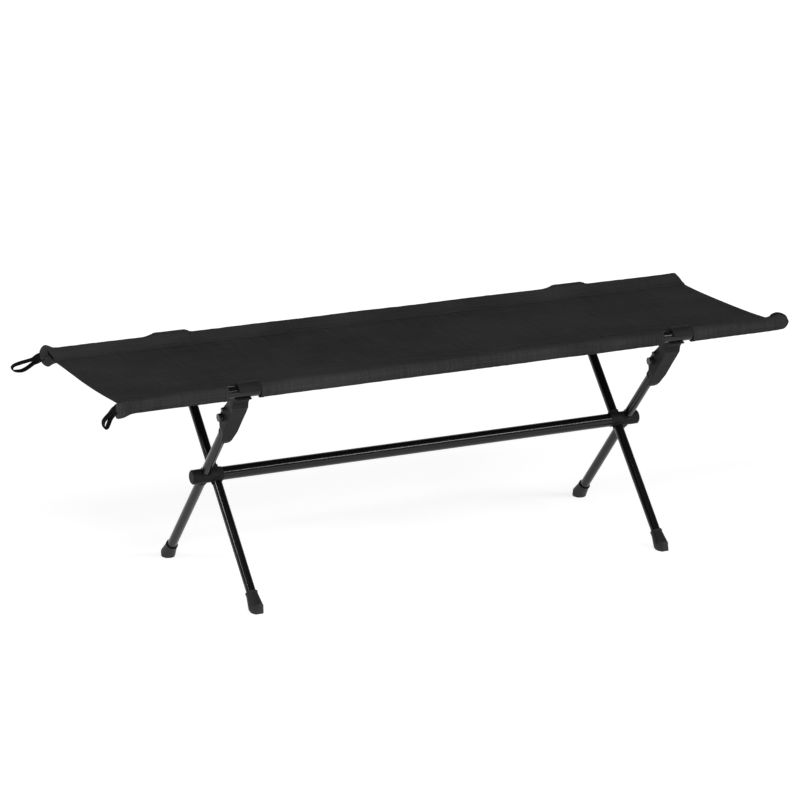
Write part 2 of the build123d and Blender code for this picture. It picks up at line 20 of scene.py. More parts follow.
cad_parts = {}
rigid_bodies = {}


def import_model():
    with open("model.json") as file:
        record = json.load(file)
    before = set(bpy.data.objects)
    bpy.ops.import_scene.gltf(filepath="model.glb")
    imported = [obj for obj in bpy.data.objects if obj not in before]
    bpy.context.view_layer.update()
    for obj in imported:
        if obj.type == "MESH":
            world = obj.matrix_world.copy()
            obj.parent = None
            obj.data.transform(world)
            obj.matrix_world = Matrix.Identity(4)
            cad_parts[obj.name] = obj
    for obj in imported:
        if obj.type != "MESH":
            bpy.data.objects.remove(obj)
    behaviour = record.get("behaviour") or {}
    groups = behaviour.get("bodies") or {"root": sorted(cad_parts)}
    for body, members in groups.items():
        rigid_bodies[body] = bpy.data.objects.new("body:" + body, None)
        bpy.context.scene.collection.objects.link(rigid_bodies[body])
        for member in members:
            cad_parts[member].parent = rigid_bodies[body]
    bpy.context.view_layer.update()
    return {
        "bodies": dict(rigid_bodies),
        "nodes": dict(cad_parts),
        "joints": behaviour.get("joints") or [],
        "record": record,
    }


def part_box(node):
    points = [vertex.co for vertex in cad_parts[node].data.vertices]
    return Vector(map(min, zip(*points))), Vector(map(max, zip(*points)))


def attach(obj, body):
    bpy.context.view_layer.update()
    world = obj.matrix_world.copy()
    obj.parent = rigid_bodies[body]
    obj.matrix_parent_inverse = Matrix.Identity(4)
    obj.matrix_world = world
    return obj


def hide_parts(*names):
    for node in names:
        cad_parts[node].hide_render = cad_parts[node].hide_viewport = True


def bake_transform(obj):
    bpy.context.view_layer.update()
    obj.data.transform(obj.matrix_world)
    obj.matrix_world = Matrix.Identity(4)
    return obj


log = logging.getLogger("cot")
MM = 0.001
WEAVE_UV = "weave"
THREAD_LIFT = 0.05 * MM

Colour = tuple[float, float, float]
Knots = tuple[tuple[float, float], ...]
Material = bpy.types.Material
Piece = bpy.types.Object
Socket = bpy.types.NodeSocket


class Body(Enum):
    """Moving bodies of the frame."""

    BEAM = "beam_frame"
    SWING = "swing_frame"
    RAIL = "near_rail"


class Side(Enum):
    """Long sides of the bed; the value is the sign of Y."""

    NEAR = -1
    FAR = 1

    @property
    def label(self) -> str:
        """Its word in the names of pieces."""
        return self.name.lower()


class Slot(Enum):
    """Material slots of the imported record."""

    TUBE = "black_tube"
    MOULDING = "moulding"
    RUBBER = "rubber"
    STEEL = "steel"
    CLOTH = "cloth"
    WEBBING = "webbing"
    ELASTIC = "elastic"


class Graph:
    """A node tree, put together by short calls."""

    def __init__(self, tree: bpy.types.NodeTree) -> None:
        """Start on a tree, which is emptied."""
        tree.nodes.clear()
        self.tree = tree

    def add(self, kind: str, inputs: dict | None = None, **settings: object) -> bpy.types.Node:
        """Add a node.

        Args:
            kind: the node's type name.
            inputs: sockets or plain values, by the input's name or number.
            settings: properties of the node.

        Returns:
            The new node.
        """
        node = self.tree.nodes.new(kind)
        for key, value in settings.items():
            setattr(node, key, value)
        for key, value in (inputs or {}).items():
            if isinstance(value, Socket):
                self.tree.links.new(value, node.inputs[key])
            else:
                node.inputs[key].default_value = value
        return node

    def math(self, operation: str, *values: object) -> Socket:
        """Result of a Math node on sockets or numbers."""
        return self.add("ShaderNodeMath", dict(enumerate(values)), operation=operation).outputs[0]

    def vector(self, operation: str, *values: object) -> bpy.types.bpy_prop_collection:
        """Results of a Vector Math node on sockets or vectors."""
        return self.add("ShaderNodeVectorMath", dict(enumerate(values)), operation=operation).outputs

    def split(self, vector: Socket) -> bpy.types.bpy_prop_collection:
        """X, Y and Z of a vector."""
        return self.add("ShaderNodeSeparateXYZ", {0: vector}).outputs

    def remap(self, value: Socket, low: float, high: float, source: Sequence[float] = (0.3, 0.7)) -> Socket:
        """Spread part of a value's range over another range.

        Args:
            value: the value.
            low: result at the start of the source range.
            high: result at its end.
            source: part of the value's range that is used.

        Returns:
            The result.
        """
        inputs = {"Value": value, "From Min": source[0], "From Max": source[1], "To Min": low, "To Max": high}
        return self.add("ShaderNodeMapRange", inputs).outputs["Result"]

    def seen(self) -> Socket:
        """Tell the rays that show the scene from those that only carry its light.

        Returns:
            1 on rays from the camera and on those that it sees in glossy or clear surfaces, else 0.
        """
        path = self.add("ShaderNodeLightPath").outputs
        mirrored = self.math("MAXIMUM", path["Is Glossy Ray"], path["Is Transmission Ray"])
        return self.math("MAXIMUM", path["Is Camera Ray"], mirrored)


class Paint(Graph):
    """A material's tree round one Principled shader."""

    def __init__(self, name: str) -> None:
        """Start a material.

        Args:
            name: its name.
        """
        self.material = bpy.data.materials.new(name)
        self.material.use_nodes = True
        super().__init__(self.material.node_tree)

    def finish(self, **values: object) -> Material:
        """Set or link the shader's inputs.

        Args:
            values: sockets or plain values, by the input's name with underscores for spaces.

        Returns:
            The finished material.
        """
        inputs = {key.replace("_", " "): value for key, value in values.items()}
        shader = self.add("ShaderNodeBsdfPrincipled", inputs)
        self.add("ShaderNodeOutputMaterial", {"Surface": shader.outputs["BSDF"]})
        return self.material

    def place(self, turn: float = 0.0, scale: Sequence[float] = (1, 1, 1), axis: int = 0) -> Socket:
        """Object coordinates, turned and then scaled.

        Args:
            turn: turn in degrees.
            scale: stretch along X, Y and Z after the turn.
            axis: number of the axis that they turn about.

        Returns:
            The coordinates.
        """
        turns = [math.radians(turn) if index == axis else 0.0 for index in range(3)]
        source = self.add("ShaderNodeTexCoord").outputs["Object"]
        turned = self.add("ShaderNodeMapping", {"Vector": source, "Rotation": turns}).outputs["Vector"]
        return self.vector("MULTIPLY", turned, scale)[0]

    def weave_map(self) -> Socket:
        """The cloth's own map, in metres along and across."""
        return self.add("ShaderNodeUVMap", uv_map=WEAVE_UV).outputs["UV"]

    def noise(self, scale: float, detail: float, where: Socket | None = None) -> Socket:
        """Smooth noise between 0 and 1.

        Args:
            scale: how fine the noise is.
            detail: number of finer layers.
            where: its coordinates; plain object coordinates if none are given.

        Returns:
            The noise.
        """
        inputs = {"Vector": where or self.place(), "Scale": scale, "Detail": detail}
        return self.add("ShaderNodeTexNoise", inputs).outputs["Fac"]

    def rounded(self, radius: float) -> tuple[Socket, Socket]:
        """Normals rounded over sharp edges, and how much they turn there.

        Args:
            radius: radius of the rounding.

        Returns:
            The normal, and a value that is 0 on faces and 1 on sharp edges.
        """
        soft = self.add("ShaderNodeBevel", {"Radius": radius}, samples=6).outputs["Normal"]
        face = self.add("ShaderNodeNewGeometry").outputs["Normal"]
        match = self.vector("DOT_PRODUCT", soft, face)["Value"]
        return soft, self.remap(match, 1.0, 0.0, (0.75, 0.98))

    def bump(self, height: Socket, depth: float, strength: float, under: Socket | None = None) -> Socket:
        """Surface relief.

        Args:
            height: relief between 0 and 1.
            depth: depth of the relief, in metres.
            strength: share of the relief that shows.
            under: a normal that the relief lies on.

        Returns:
            The normal.
        """
        inputs = {"Height": height, "Distance": depth, "Strength": strength}
        return self.add("ShaderNodeBump", inputs | ({"Normal": under} if under else {})).outputs["Normal"]


@dataclass(frozen=True)
class Finish:
    """A finish between two colours.

    Attributes:
        name: name of the material.
        dark: colour of its darkest places.
        light: colour of its lightest places.
    """

    # Colour sockets of a Mix node: its two inputs and its output.
    MIX_DARK, MIX_LIGHT, MIX_RESULT = 6, 7, 2

    name: str
    dark: Colour
    light: Colour

    def tint(self, paint: Paint, factor: Socket) -> Socket:
        """Mix of the two colours.

        Args:
            paint: the material's tree.
            factor: share of the light colour.

        Returns:
            The mixed colour.
        """
        inputs = {"Factor": factor, self.MIX_DARK: (*self.dark, 1.0), self.MIX_LIGHT: (*self.light, 1.0)}
        return paint.add("ShaderNodeMix", inputs, data_type="RGBA").outputs[self.MIX_RESULT]


@dataclass(frozen=True)
class ClothFinish(Finish):
    """Tight plain weave: yarns that pass over and under each other, a little uneven in tone.

    Attributes:
        pitch: distance from one yarn to the next.
        depth: height of a raised yarn.
        streak: how often a yarn's tone changes along it, per metre.
    """

    pitch: float = 0.8 * MM
    depth: float = 0.16 * MM
    streak: float = 12.0

    def material(self) -> Material:
        """Build the material on the cloth's own map.

        Returns:
            The material.
        """
        paint = Paint(self.name)
        uv = paint.weave_map()
        turn, pair = math.pi / self.pitch, 1.0 / (2 * self.pitch)
        waves = [paint.math("SINE", paint.math("MULTIPLY", way, turn)) for way in paint.split(uv)[:2]]
        weave = paint.math("MULTIPLY_ADD", paint.math("MULTIPLY", *waves), 0.5, 0.5)
        scales = ((self.streak, pair, 1.0), (pair, self.streak, 1.0))
        yarns = paint.math("ADD", *(paint.noise(1.0, 1.0, paint.vector("MULTIPLY", uv, scale)[0]) for scale in scales))
        raised = paint.remap(weave, 0.0, 0.4, (0, 1))
        streaked = paint.remap(yarns, -0.1, 0.35, (0.7, 1.3))
        clouded = paint.remap(paint.noise(7.0, 3.0), -0.08, 0.3)
        fuzz = paint.remap(paint.noise(2600.0, 1.0), 0.75, 1.0)
        return paint.finish(
            Base_Color=self.tint(paint, paint.math("ADD", paint.math("ADD", raised, streaked), clouded)),
            Roughness=paint.remap(yarns, 0.96, 0.86, (0.7, 1.3)),
            Normal=paint.bump(paint.math("MULTIPLY", weave, fuzz), self.depth, 0.6),
            Specular_IOR_Level=0.08,
            Sheen_Weight=0.01,
            Sheen_Roughness=0.5,
        )


@dataclass(frozen=True)
class WebbingFinish(Finish):
    """Narrow woven tape with a herringbone rib.

    Attributes:
        pitch: distance from one rib to the next.
        fold: width of a run of ribs, after which they turn.
    """

    name: str = "pull_loop_webbing"
    dark: Colour = (0.003, 0.003, 0.0032)
    light: Colour = (0.016, 0.016, 0.0165)
    pitch: float = 1.1 * MM
    fold: float = 2.2 * MM

    def material(self) -> Material:
        """Build the material on the tape's own map.

        Returns:
            The material.
        """
        paint = Paint(self.name)
        along, across = paint.split(paint.weave_map())[:2]
        diagonal = paint.math("ADD", along, paint.math("PINGPONG", across, self.fold))
        rib = paint.math("SINE", paint.math("MULTIPLY", diagonal, 2 * math.pi / self.pitch))
        height = paint.remap(rib, 0.0, 1.0, (-1, 1))
        fuzz = paint.noise(1800.0, 1.0)
        return paint.finish(
            Base_Color=self.tint(paint, paint.math("MULTIPLY", height, fuzz)),
            Roughness=paint.remap(fuzz, 0.7, 0.9),
            Normal=paint.bump(height, 0.25 * MM, 0.8),
            Specular_IOR_Level=0.1,
        )


@dataclass(frozen=True)
class ThreadFinish(Finish):
    """Twisted sewing thread."""

    name: str = "seam_thread"
    dark: Colour = (0.018, 0.018, 0.0185)
    light: Colour = (0.055, 0.055, 0.056)

    def material(self) -> Material:
        """Build the material.

        Returns:
            The material.
        """
        paint = Paint(self.name)
        twist = paint.noise(1500.0, 1.0, paint.place(40, (2.0, 0.5, 1.0), axis=2))
        return paint.finish(
            Base_Color=self.tint(paint, twist),
            Roughness=paint.remap(twist, 0.45, 0.65),
            Normal=paint.bump(twist, 0.1 * MM, 0.6),
        )


@dataclass(frozen=True)
class TubeFinish(Finish):
    """Black coated tube: smooth, with faint lines along it and a little handling wear.

    Attributes:
        turn: turn about X that brings the tube's length onto Z, in degrees; None for a tube along X.
        stretch: how much the lines are drawn out along the tube.
    """

    dark: Colour = (0.003, 0.003, 0.0033)
    light: Colour = (0.009, 0.009, 0.0095)
    turn: float | None = None
    stretch: float = 0.02

    def material(self) -> Material:
        """Build the material with its lines along the tube.

        Returns:
            The material.
        """
        paint = Paint(self.name)
        scale = (self.stretch, 1, 1) if self.turn is None else (1, 1, self.stretch)
        lines = paint.noise(900.0, 2.0, paint.place(self.turn or 0, scale))
        cloud = paint.noise(26.0, 4.0)
        peel = paint.noise(700.0, 1.0)
        return paint.finish(
            Base_Color=self.tint(paint, paint.math("MULTIPLY", lines, cloud)),
            Roughness=paint.math("ADD", paint.remap(cloud, 0.13, 0.19), paint.remap(lines, 0.0, 0.04)),
            Normal=paint.bump(paint.math("ADD", lines, peel), 0.02 * MM, 0.35),
            Specular_IOR_Level=0.3,
        )


@dataclass(frozen=True)
class MouldingFinish(Finish):
    """Moulded black nylon with a fine spark texture.

    Attributes:
        worn: how much the edges are rubbed paler.
    """

    name: str = "nylon_moulding"
    dark: Colour = (0.013, 0.013, 0.0135)
    light: Colour = (0.038, 0.038, 0.0392)
    worn: float = 0.5

    def material(self) -> Material:
        """Build the material.

        Returns:
            The material.
        """
        paint = Paint(self.name)
        grain = paint.noise(1500.0, 2.0)
        cloud = paint.noise(45.0, 3.0)
        soft, edge = paint.rounded(0.9 * MM)
        rubbed = paint.math("MULTIPLY", paint.math("MULTIPLY", edge, cloud), self.worn)
        return paint.finish(
            Base_Color=self.tint(paint, paint.math("MULTIPLY_ADD", grain, cloud, rubbed)),
            Roughness=paint.math("ADD", paint.remap(cloud, 0.38, 0.48), paint.remap(grain, -0.04, 0.06)),
            Normal=paint.bump(grain, 0.07 * MM, 0.45, soft),
            Specular_IOR_Level=0.04,
        )


@dataclass(frozen=True)
class RubberFinish(Finish):
    """Moulded rubber, paler and rougher towards the floor where it is scuffed.

    Attributes:
        scuff_height: height up to which it is scuffed.
    """

    name: str = "foot_rubber"
    dark: Colour = (0.01, 0.01, 0.0103)
    light: Colour = (0.045, 0.044, 0.043)
    scuff_height: float = 14 * MM

    def material(self) -> Material:
        """Build the material.

        Returns:
            The material.
        """
        paint = Paint(self.name)
        where = paint.place()
        low = paint.remap(paint.split(where)["Z"], 0.8, 0.15, (0.0, self.scuff_height))
        grain = paint.noise(1100.0, 2.0, where)
        cloud = paint.noise(120.0, 4.0, where)
        scuff = paint.math("MULTIPLY", low, paint.math("ADD", cloud, paint.math("MULTIPLY", grain, 0.4)))
        return paint.finish(
            Base_Color=self.tint(paint, scuff),
            Roughness=paint.remap(scuff, 0.5, 0.8, (0.1, 0.8)),
            Normal=paint.bump(grain, 0.08 * MM, 0.4, paint.rounded(0.7 * MM)[0]),
            Specular_IOR_Level=0.3,
        )


@dataclass(frozen=True)
class SteelFinish(Finish):
    """Blackened steel of the pins, bolts and rivets."""

    name: str = "blackened_steel"
    dark: Colour = (0.03, 0.03, 0.031)
    light: Colour = (0.11, 0.11, 0.112)

    def material(self) -> Material:
        """Build the material.

        Returns:
            The material.
        """
        paint = Paint(self.name)
        cloud = paint.noise(320.0, 4.0)
        turned = paint.noise(900.0, 1.0, paint.place(scale=(4.0, 1.0, 1.0)))
        return paint.finish(
            Base_Color=self.tint(paint, cloud),
            Roughness=paint.remap(cloud, 0.3, 0.5),
            Metallic=0.85,
            Normal=paint.bump(turned, 0.03 * MM, 0.5, paint.rounded(0.5 * MM)[0]),
        )


class Ripple:
    """Small seeded unevenness: a sum of sine waves whose lengths and phases are drawn once."""

    def __init__(self, seed: int, shortest: float, longest: float, count: int) -> None:
        """Draw the waves.

        Args:
            seed: seed of the draw.
            shortest: shortest wave, in metres.
            longest: longest wave, in metres.
            count: number of waves.
        """
        draw = np.random.default_rng(seed)
        self.rate = 2 * math.pi / np.exp(draw.uniform(math.log(shortest), math.log(longest), count))
        self.slant = draw.uniform(-1.0, 1.0, count)
        self.phase = draw.uniform(0, 2 * math.pi, count)

    def at(self, along: np.ndarray, across: np.ndarray) -> np.ndarray:
        """Unevenness between about -1 and 1.

        Args:
            along: places along the main direction, in metres.
            across: places across it, in metres.

        Returns:
            One value for each place.
        """
        drawn = zip(self.rate, self.slant, self.phase)
        waves = [np.sin(rate * (along + slant * across) + phase) for rate, slant, phase in drawn]
        return np.sum(waves, axis=0) / math.sqrt(2 * len(waves))


@dataclass(frozen=True)
class Layout:
    """Places that the sling is sewn to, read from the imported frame.

    Attributes:
        pole_y: distance of a pole's centre line from the middle of the bed.
        pole_z: height of the poles' centre lines.
        pole_radius: outer radius of a pole.
        left: X of the sleeves' left ends.
        right: for each side, X of its sleeve's right end.
        sheet_left: X of the sheet's left corners.
        sheet_right: X of the sheet's near right corner.
        seam_y: distance of a sleeve's seam from the middle of the bed.
        seam_z: height of the seams.
        hook_x: for each side, distance of its pole hooks from the middle of the bed.
        hook_width: width that a window is cut for.
    """

    SHEET_EDGE = 0.9 * MM

    pole_y: float
    pole_z: float
    pole_radius: float
    left: float
    right: dict[Side, float]
    sheet_left: float
    sheet_right: float
    seam_y: float
    seam_z: float
    hook_x: dict[Side, float]
    hook_width: float

    @classmethod
    def read(cls) -> Layout:
        """Read the places from the frame's nodes.

        Returns:
            The places.
        """
        pole_low, pole_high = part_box("far_pole_section_2")
        sheet_low, sheet_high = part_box("sling_sheet")
        leg_low, leg_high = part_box("near_leg_right")
        saddle_low, saddle_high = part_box("far_saddle_right")
        return cls(
            pole_y=(pole_low.y + pole_high.y) / 2,
            pole_z=(pole_low.z + pole_high.z) / 2,
            pole_radius=(pole_high.z - pole_low.z) / 2,
            left=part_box("near_sleeve")[0].x,
            right={side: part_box(f"{side.label}_sleeve")[1].x for side in Side},
            sheet_left=sheet_low.x,
            sheet_right=sheet_high.x,
            seam_y=sheet_high.y + cls.SHEET_EDGE,
            seam_z=sheet_high.z - cls.SHEET_EDGE,
            hook_x={Side.NEAR: (leg_low.x + leg_high.x) / 2, Side.FAR: (saddle_low.x + saddle_high.x) / 2},
            hook_width=saddle_high.x - saddle_low.x,
        )


def add_object(data: bpy.types.ID) -> Piece:
    """Put data into the scene as an object of the same name.

    Args:
        data: a mesh, a lamp or a camera.

    Returns:
        The new object.
    """
    item = bpy.data.objects.new(data.name, data)
    bpy.context.scene.collection.objects.link(item)
    return item


def link(mesh: bpy.types.Mesh, material: Material) -> Piece:
    """Put a mesh into the scene as a smooth piece.

    Args:
        mesh: the mesh, in the frame's axes, with the piece's name.
        material: its material.

    Returns:
        The new piece.
    """
    piece = add_object(mesh)
    mesh.materials.append(material)
    mesh.shade_smooth()
    return piece


def bake(piece: Piece) -> Piece:
    """Turn a piece's modifiers into plain mesh.

    Args:
        piece: a mesh object with modifiers.

    Returns:
        The same object, with the result as its mesh and no modifier.
    """
    bpy.context.view_layer.update()
    evaluated = piece.evaluated_get(bpy.context.evaluated_depsgraph_get())
    mesh, old = bpy.data.meshes.new_from_object(evaluated), piece.data
    piece.modifiers.clear()
    piece.data = mesh
    bpy.data.meshes.remove(old)
    mesh.name = piece.name
    return piece


def surface(
    name: str, points: np.ndarray, uv: np.ndarray, material: Material, keep: np.ndarray | None = None
) -> Piece:
    """Make a surface of quads over a grid of points.

    Args:
        name: name of the piece.
        points: places, as rows by columns by 3.
        uv: map coordinates, as rows by columns by 2.
        material: its material.
        keep: for each cell, whether it is there.

    Returns:
        The piece, with its map.
    """
    rows, columns = points.shape[:2]
    index = np.arange(rows * columns).reshape(rows, columns)
    cells = np.stack([index[:-1, :-1], index[1:, :-1], index[1:, 1:], index[:-1, 1:]], axis=-1)
    cells = cells.reshape(-1, 4) if keep is None else cells[keep]
    mesh = bpy.data.meshes.new(name)
    mesh.from_pydata(points.reshape(-1, 3).tolist(), [], cells.tolist())
    corners = np.empty(len(mesh.loops), dtype=np.int32)
    mesh.loops.foreach_get("vertex_index", corners)
    layer = mesh.uv_layers.new(name=WEAVE_UV)
    layer.data.foreach_set("uv", uv.reshape(-1, 2)[corners].astype(np.float32).ravel())
    return link(mesh, material)


def thicken(piece: Piece, full: float, share: np.ndarray, edge: float) -> Piece:
    """Give a cloth surface its thickness, more at hems, with soft edges.

    Args:
        piece: the surface.
        full: thickness where the share is 1.
        share: for each point, its share of the full thickness.
        edge: rounding of the cut edges.

    Returns:
        The same piece as a closed mesh.
    """
    group = piece.vertex_groups.new(name="layers")
    for value in np.unique(share):
        group.add(np.flatnonzero(share == value).tolist(), float(value), "REPLACE")
    layers = piece.modifiers.new("layers", "SOLIDIFY")
    layers.thickness, layers.offset = full, 0.0
    layers.vertex_group = group.name
    layers.use_rim = True
    rounding = piece.modifiers.new("edges", "BEVEL")
    rounding.width, rounding.segments = edge, 2
    rounding.limit_method, rounding.angle_limit = "ANGLE", math.radians(60)
    bake(piece)
    piece.vertex_groups.clear()
    return piece


def smooth_step(value: np.ndarray) -> np.ndarray:
    """Ease from 0 to 1 over the same range."""
    clipped = np.clip(value, 0.0, 1.0)
    return clipped * clipped * (3 - 2 * clipped)


def smooth_line(knots: Knots, samples: int) -> np.ndarray:
    """Smooth line through knots.

    Args:
        knots: places that the line runs through.
        samples: number of points on the line.

    Returns:
        The line's points.
    """
    given = np.array(knots, dtype=float)
    padded = np.concatenate([[2 * given[0] - given[1]], given, [2 * given[-1] - given[-2]]])
    where = np.linspace(0, len(given) - 1 - 1e-6, samples)
    index = where.astype(int)
    t = (where - index)[:, None]
    a, b, c, d = (padded[index + i] for i in range(4))
    return 0.5 * (2 * b + (c - a) * t + (2 * a - 5 * b + 4 * c - d) * t**2 + (3 * b - a - 3 * c + d) * t**3)


def level_row(x: np.ndarray, y: np.ndarray, z: np.ndarray) -> np.ndarray:
    """Row of stitches on a level face, as points and upward normals."""
    return np.stack(np.broadcast_arrays(x, y, z, 0.0, 0.0, 1.0), axis=-1)


@dataclass
class StitchTree:
    """A geometry tree that lays stitches along the edges of a mesh, each turned to the point's own upward normal.

    Attributes:
        thread: material of the thread.
        pitch: distance from one stitch to the next.
        length: length of a stitch.
        radius: radius of the thread.
    """

    UP = "up"
    SEED = 5
    UNEVEN = (0.9, 1.1)
    # Float sockets of a Random Value node: its lower and upper bound and its output.
    RANDOM_LOW, RANDOM_HIGH, RANDOM_VALUE = 2, 3, 1

    thread: Material
    pitch: float = 3.4 * MM
    length: float = 2.7 * MM
    radius: float = 0.34 * MM

    def __post_init__(self) -> None:
        """Build the tree once, with named inputs for its sizes."""
        self.tree = bpy.data.node_groups.new("stitch_rows", "GeometryNodeTree")
        face = self.tree.interface
        face.new_socket("Stitches", in_out="OUTPUT", socket_type="NodeSocketGeometry")
        face.new_socket("Rows", in_out="INPUT", socket_type="NodeSocketGeometry")
        sizes = {"Pitch": self.pitch, "Stitch Length": self.length, "Thread Radius": self.radius}
        self.sizes = {}
        for name, value in (sizes | {"Thread": self.thread}).items():
            kind = "NodeSocketFloat" if isinstance(value, float) else "NodeSocketMaterial"
            self.sizes[face.new_socket(name, in_out="INPUT", socket_type=kind).identifier] = value
        self._nodes(Graph(self.tree))

    def _nodes(self, graph: Graph) -> None:
        """Add the nodes: rows to points, a stitch on each, turned, sized and made real.

        Args:
            graph: the empty tree.
        """
        given = graph.add("NodeGroupInput").outputs
        curve = graph.add("GeometryNodeMeshToCurve", {"Mesh": given["Rows"]}).outputs["Curve"]
        spacing = {"Curve": curve, "Length": given["Pitch"]}
        points = graph.add("GeometryNodeResampleCurve", spacing, mode="LENGTH").outputs["Curve"]
        tangent = graph.add("GeometryNodeInputTangent").outputs["Tangent"]
        named = graph.add("GeometryNodeInputNamedAttribute", {"Name": self.UP}, data_type="FLOAT_VECTOR")
        align = "FunctionNodeAlignRotationToVector"
        along = graph.add(align, {"Vector": tangent}, axis="X").outputs["Rotation"]
        facing = {"Rotation": along, "Vector": named.outputs["Attribute"]}
        upright = graph.add(align, facing, axis="Z", pivot_axis="X").outputs["Rotation"]
        stitch = graph.add("GeometryNodeMeshUVSphere", {"Segments": 6, "Rings": 5, "Radius": 1.0}).outputs["Mesh"]
        half, thick = graph.math("MULTIPLY", given["Stitch Length"], 0.5), given["Thread Radius"]
        size = graph.add("ShaderNodeCombineXYZ", {"X": half, "Y": thick, "Z": thick}).outputs[0]
        spread = {"Seed": self.SEED, self.RANDOM_LOW: self.UNEVEN[0], self.RANDOM_HIGH: self.UNEVEN[1]}
        uneven = graph.add("FunctionNodeRandomValue", spread, data_type="FLOAT").outputs[self.RANDOM_VALUE]
        scale = graph.add("ShaderNodeVectorMath", {0: size, "Scale": uneven}, operation="SCALE").outputs["Vector"]
        laying = {"Points": points, "Instance": stitch, "Rotation": upright, "Scale": scale}
        laid = graph.add("GeometryNodeInstanceOnPoints", laying).outputs["Instances"]
        real = graph.add("GeometryNodeRealizeInstances", {"Geometry": laid}).outputs["Geometry"]
        sewn = graph.add("GeometryNodeSetMaterial", {"Geometry": real, "Material": given["Thread"]})
        graph.add("NodeGroupOutput", {"Stitches": sewn.outputs["Geometry"]})

    def sew(self, name: str, rows: Sequence[np.ndarray]) -> Piece:
        """Sew rows of stitches.

        Args:
            name: name of the piece.
            rows: for each row, its points and their upward normals, as points by 6.

        Returns:
            The stitches as one plain mesh, in the thread's material.
        """
        points = np.concatenate(rows)
        starts = np.cumsum([0] + [len(row) for row in rows])
        edges = [(i, i + 1) for first, last in zip(starts, starts[1:]) for i in range(first, last - 1)]
        mesh = bpy.data.meshes.new(name)
        mesh.from_pydata(points[:, :3].tolist(), edges, [])
        upward = mesh.attributes.new(self.UP, "FLOAT_VECTOR", "POINT")
        upward.data.foreach_set("vector", points[:, 3:].astype(np.float32).ravel())
        piece = link(mesh, self.thread)
        modifier = piece.modifiers.new("stitches", "NODES")
        modifier.node_group = self.tree
        for identifier, value in self.sizes.items():
            modifier[identifier] = value
        bake(piece).data.shade_smooth()
        log.info("sewed %s", name)
        return piece


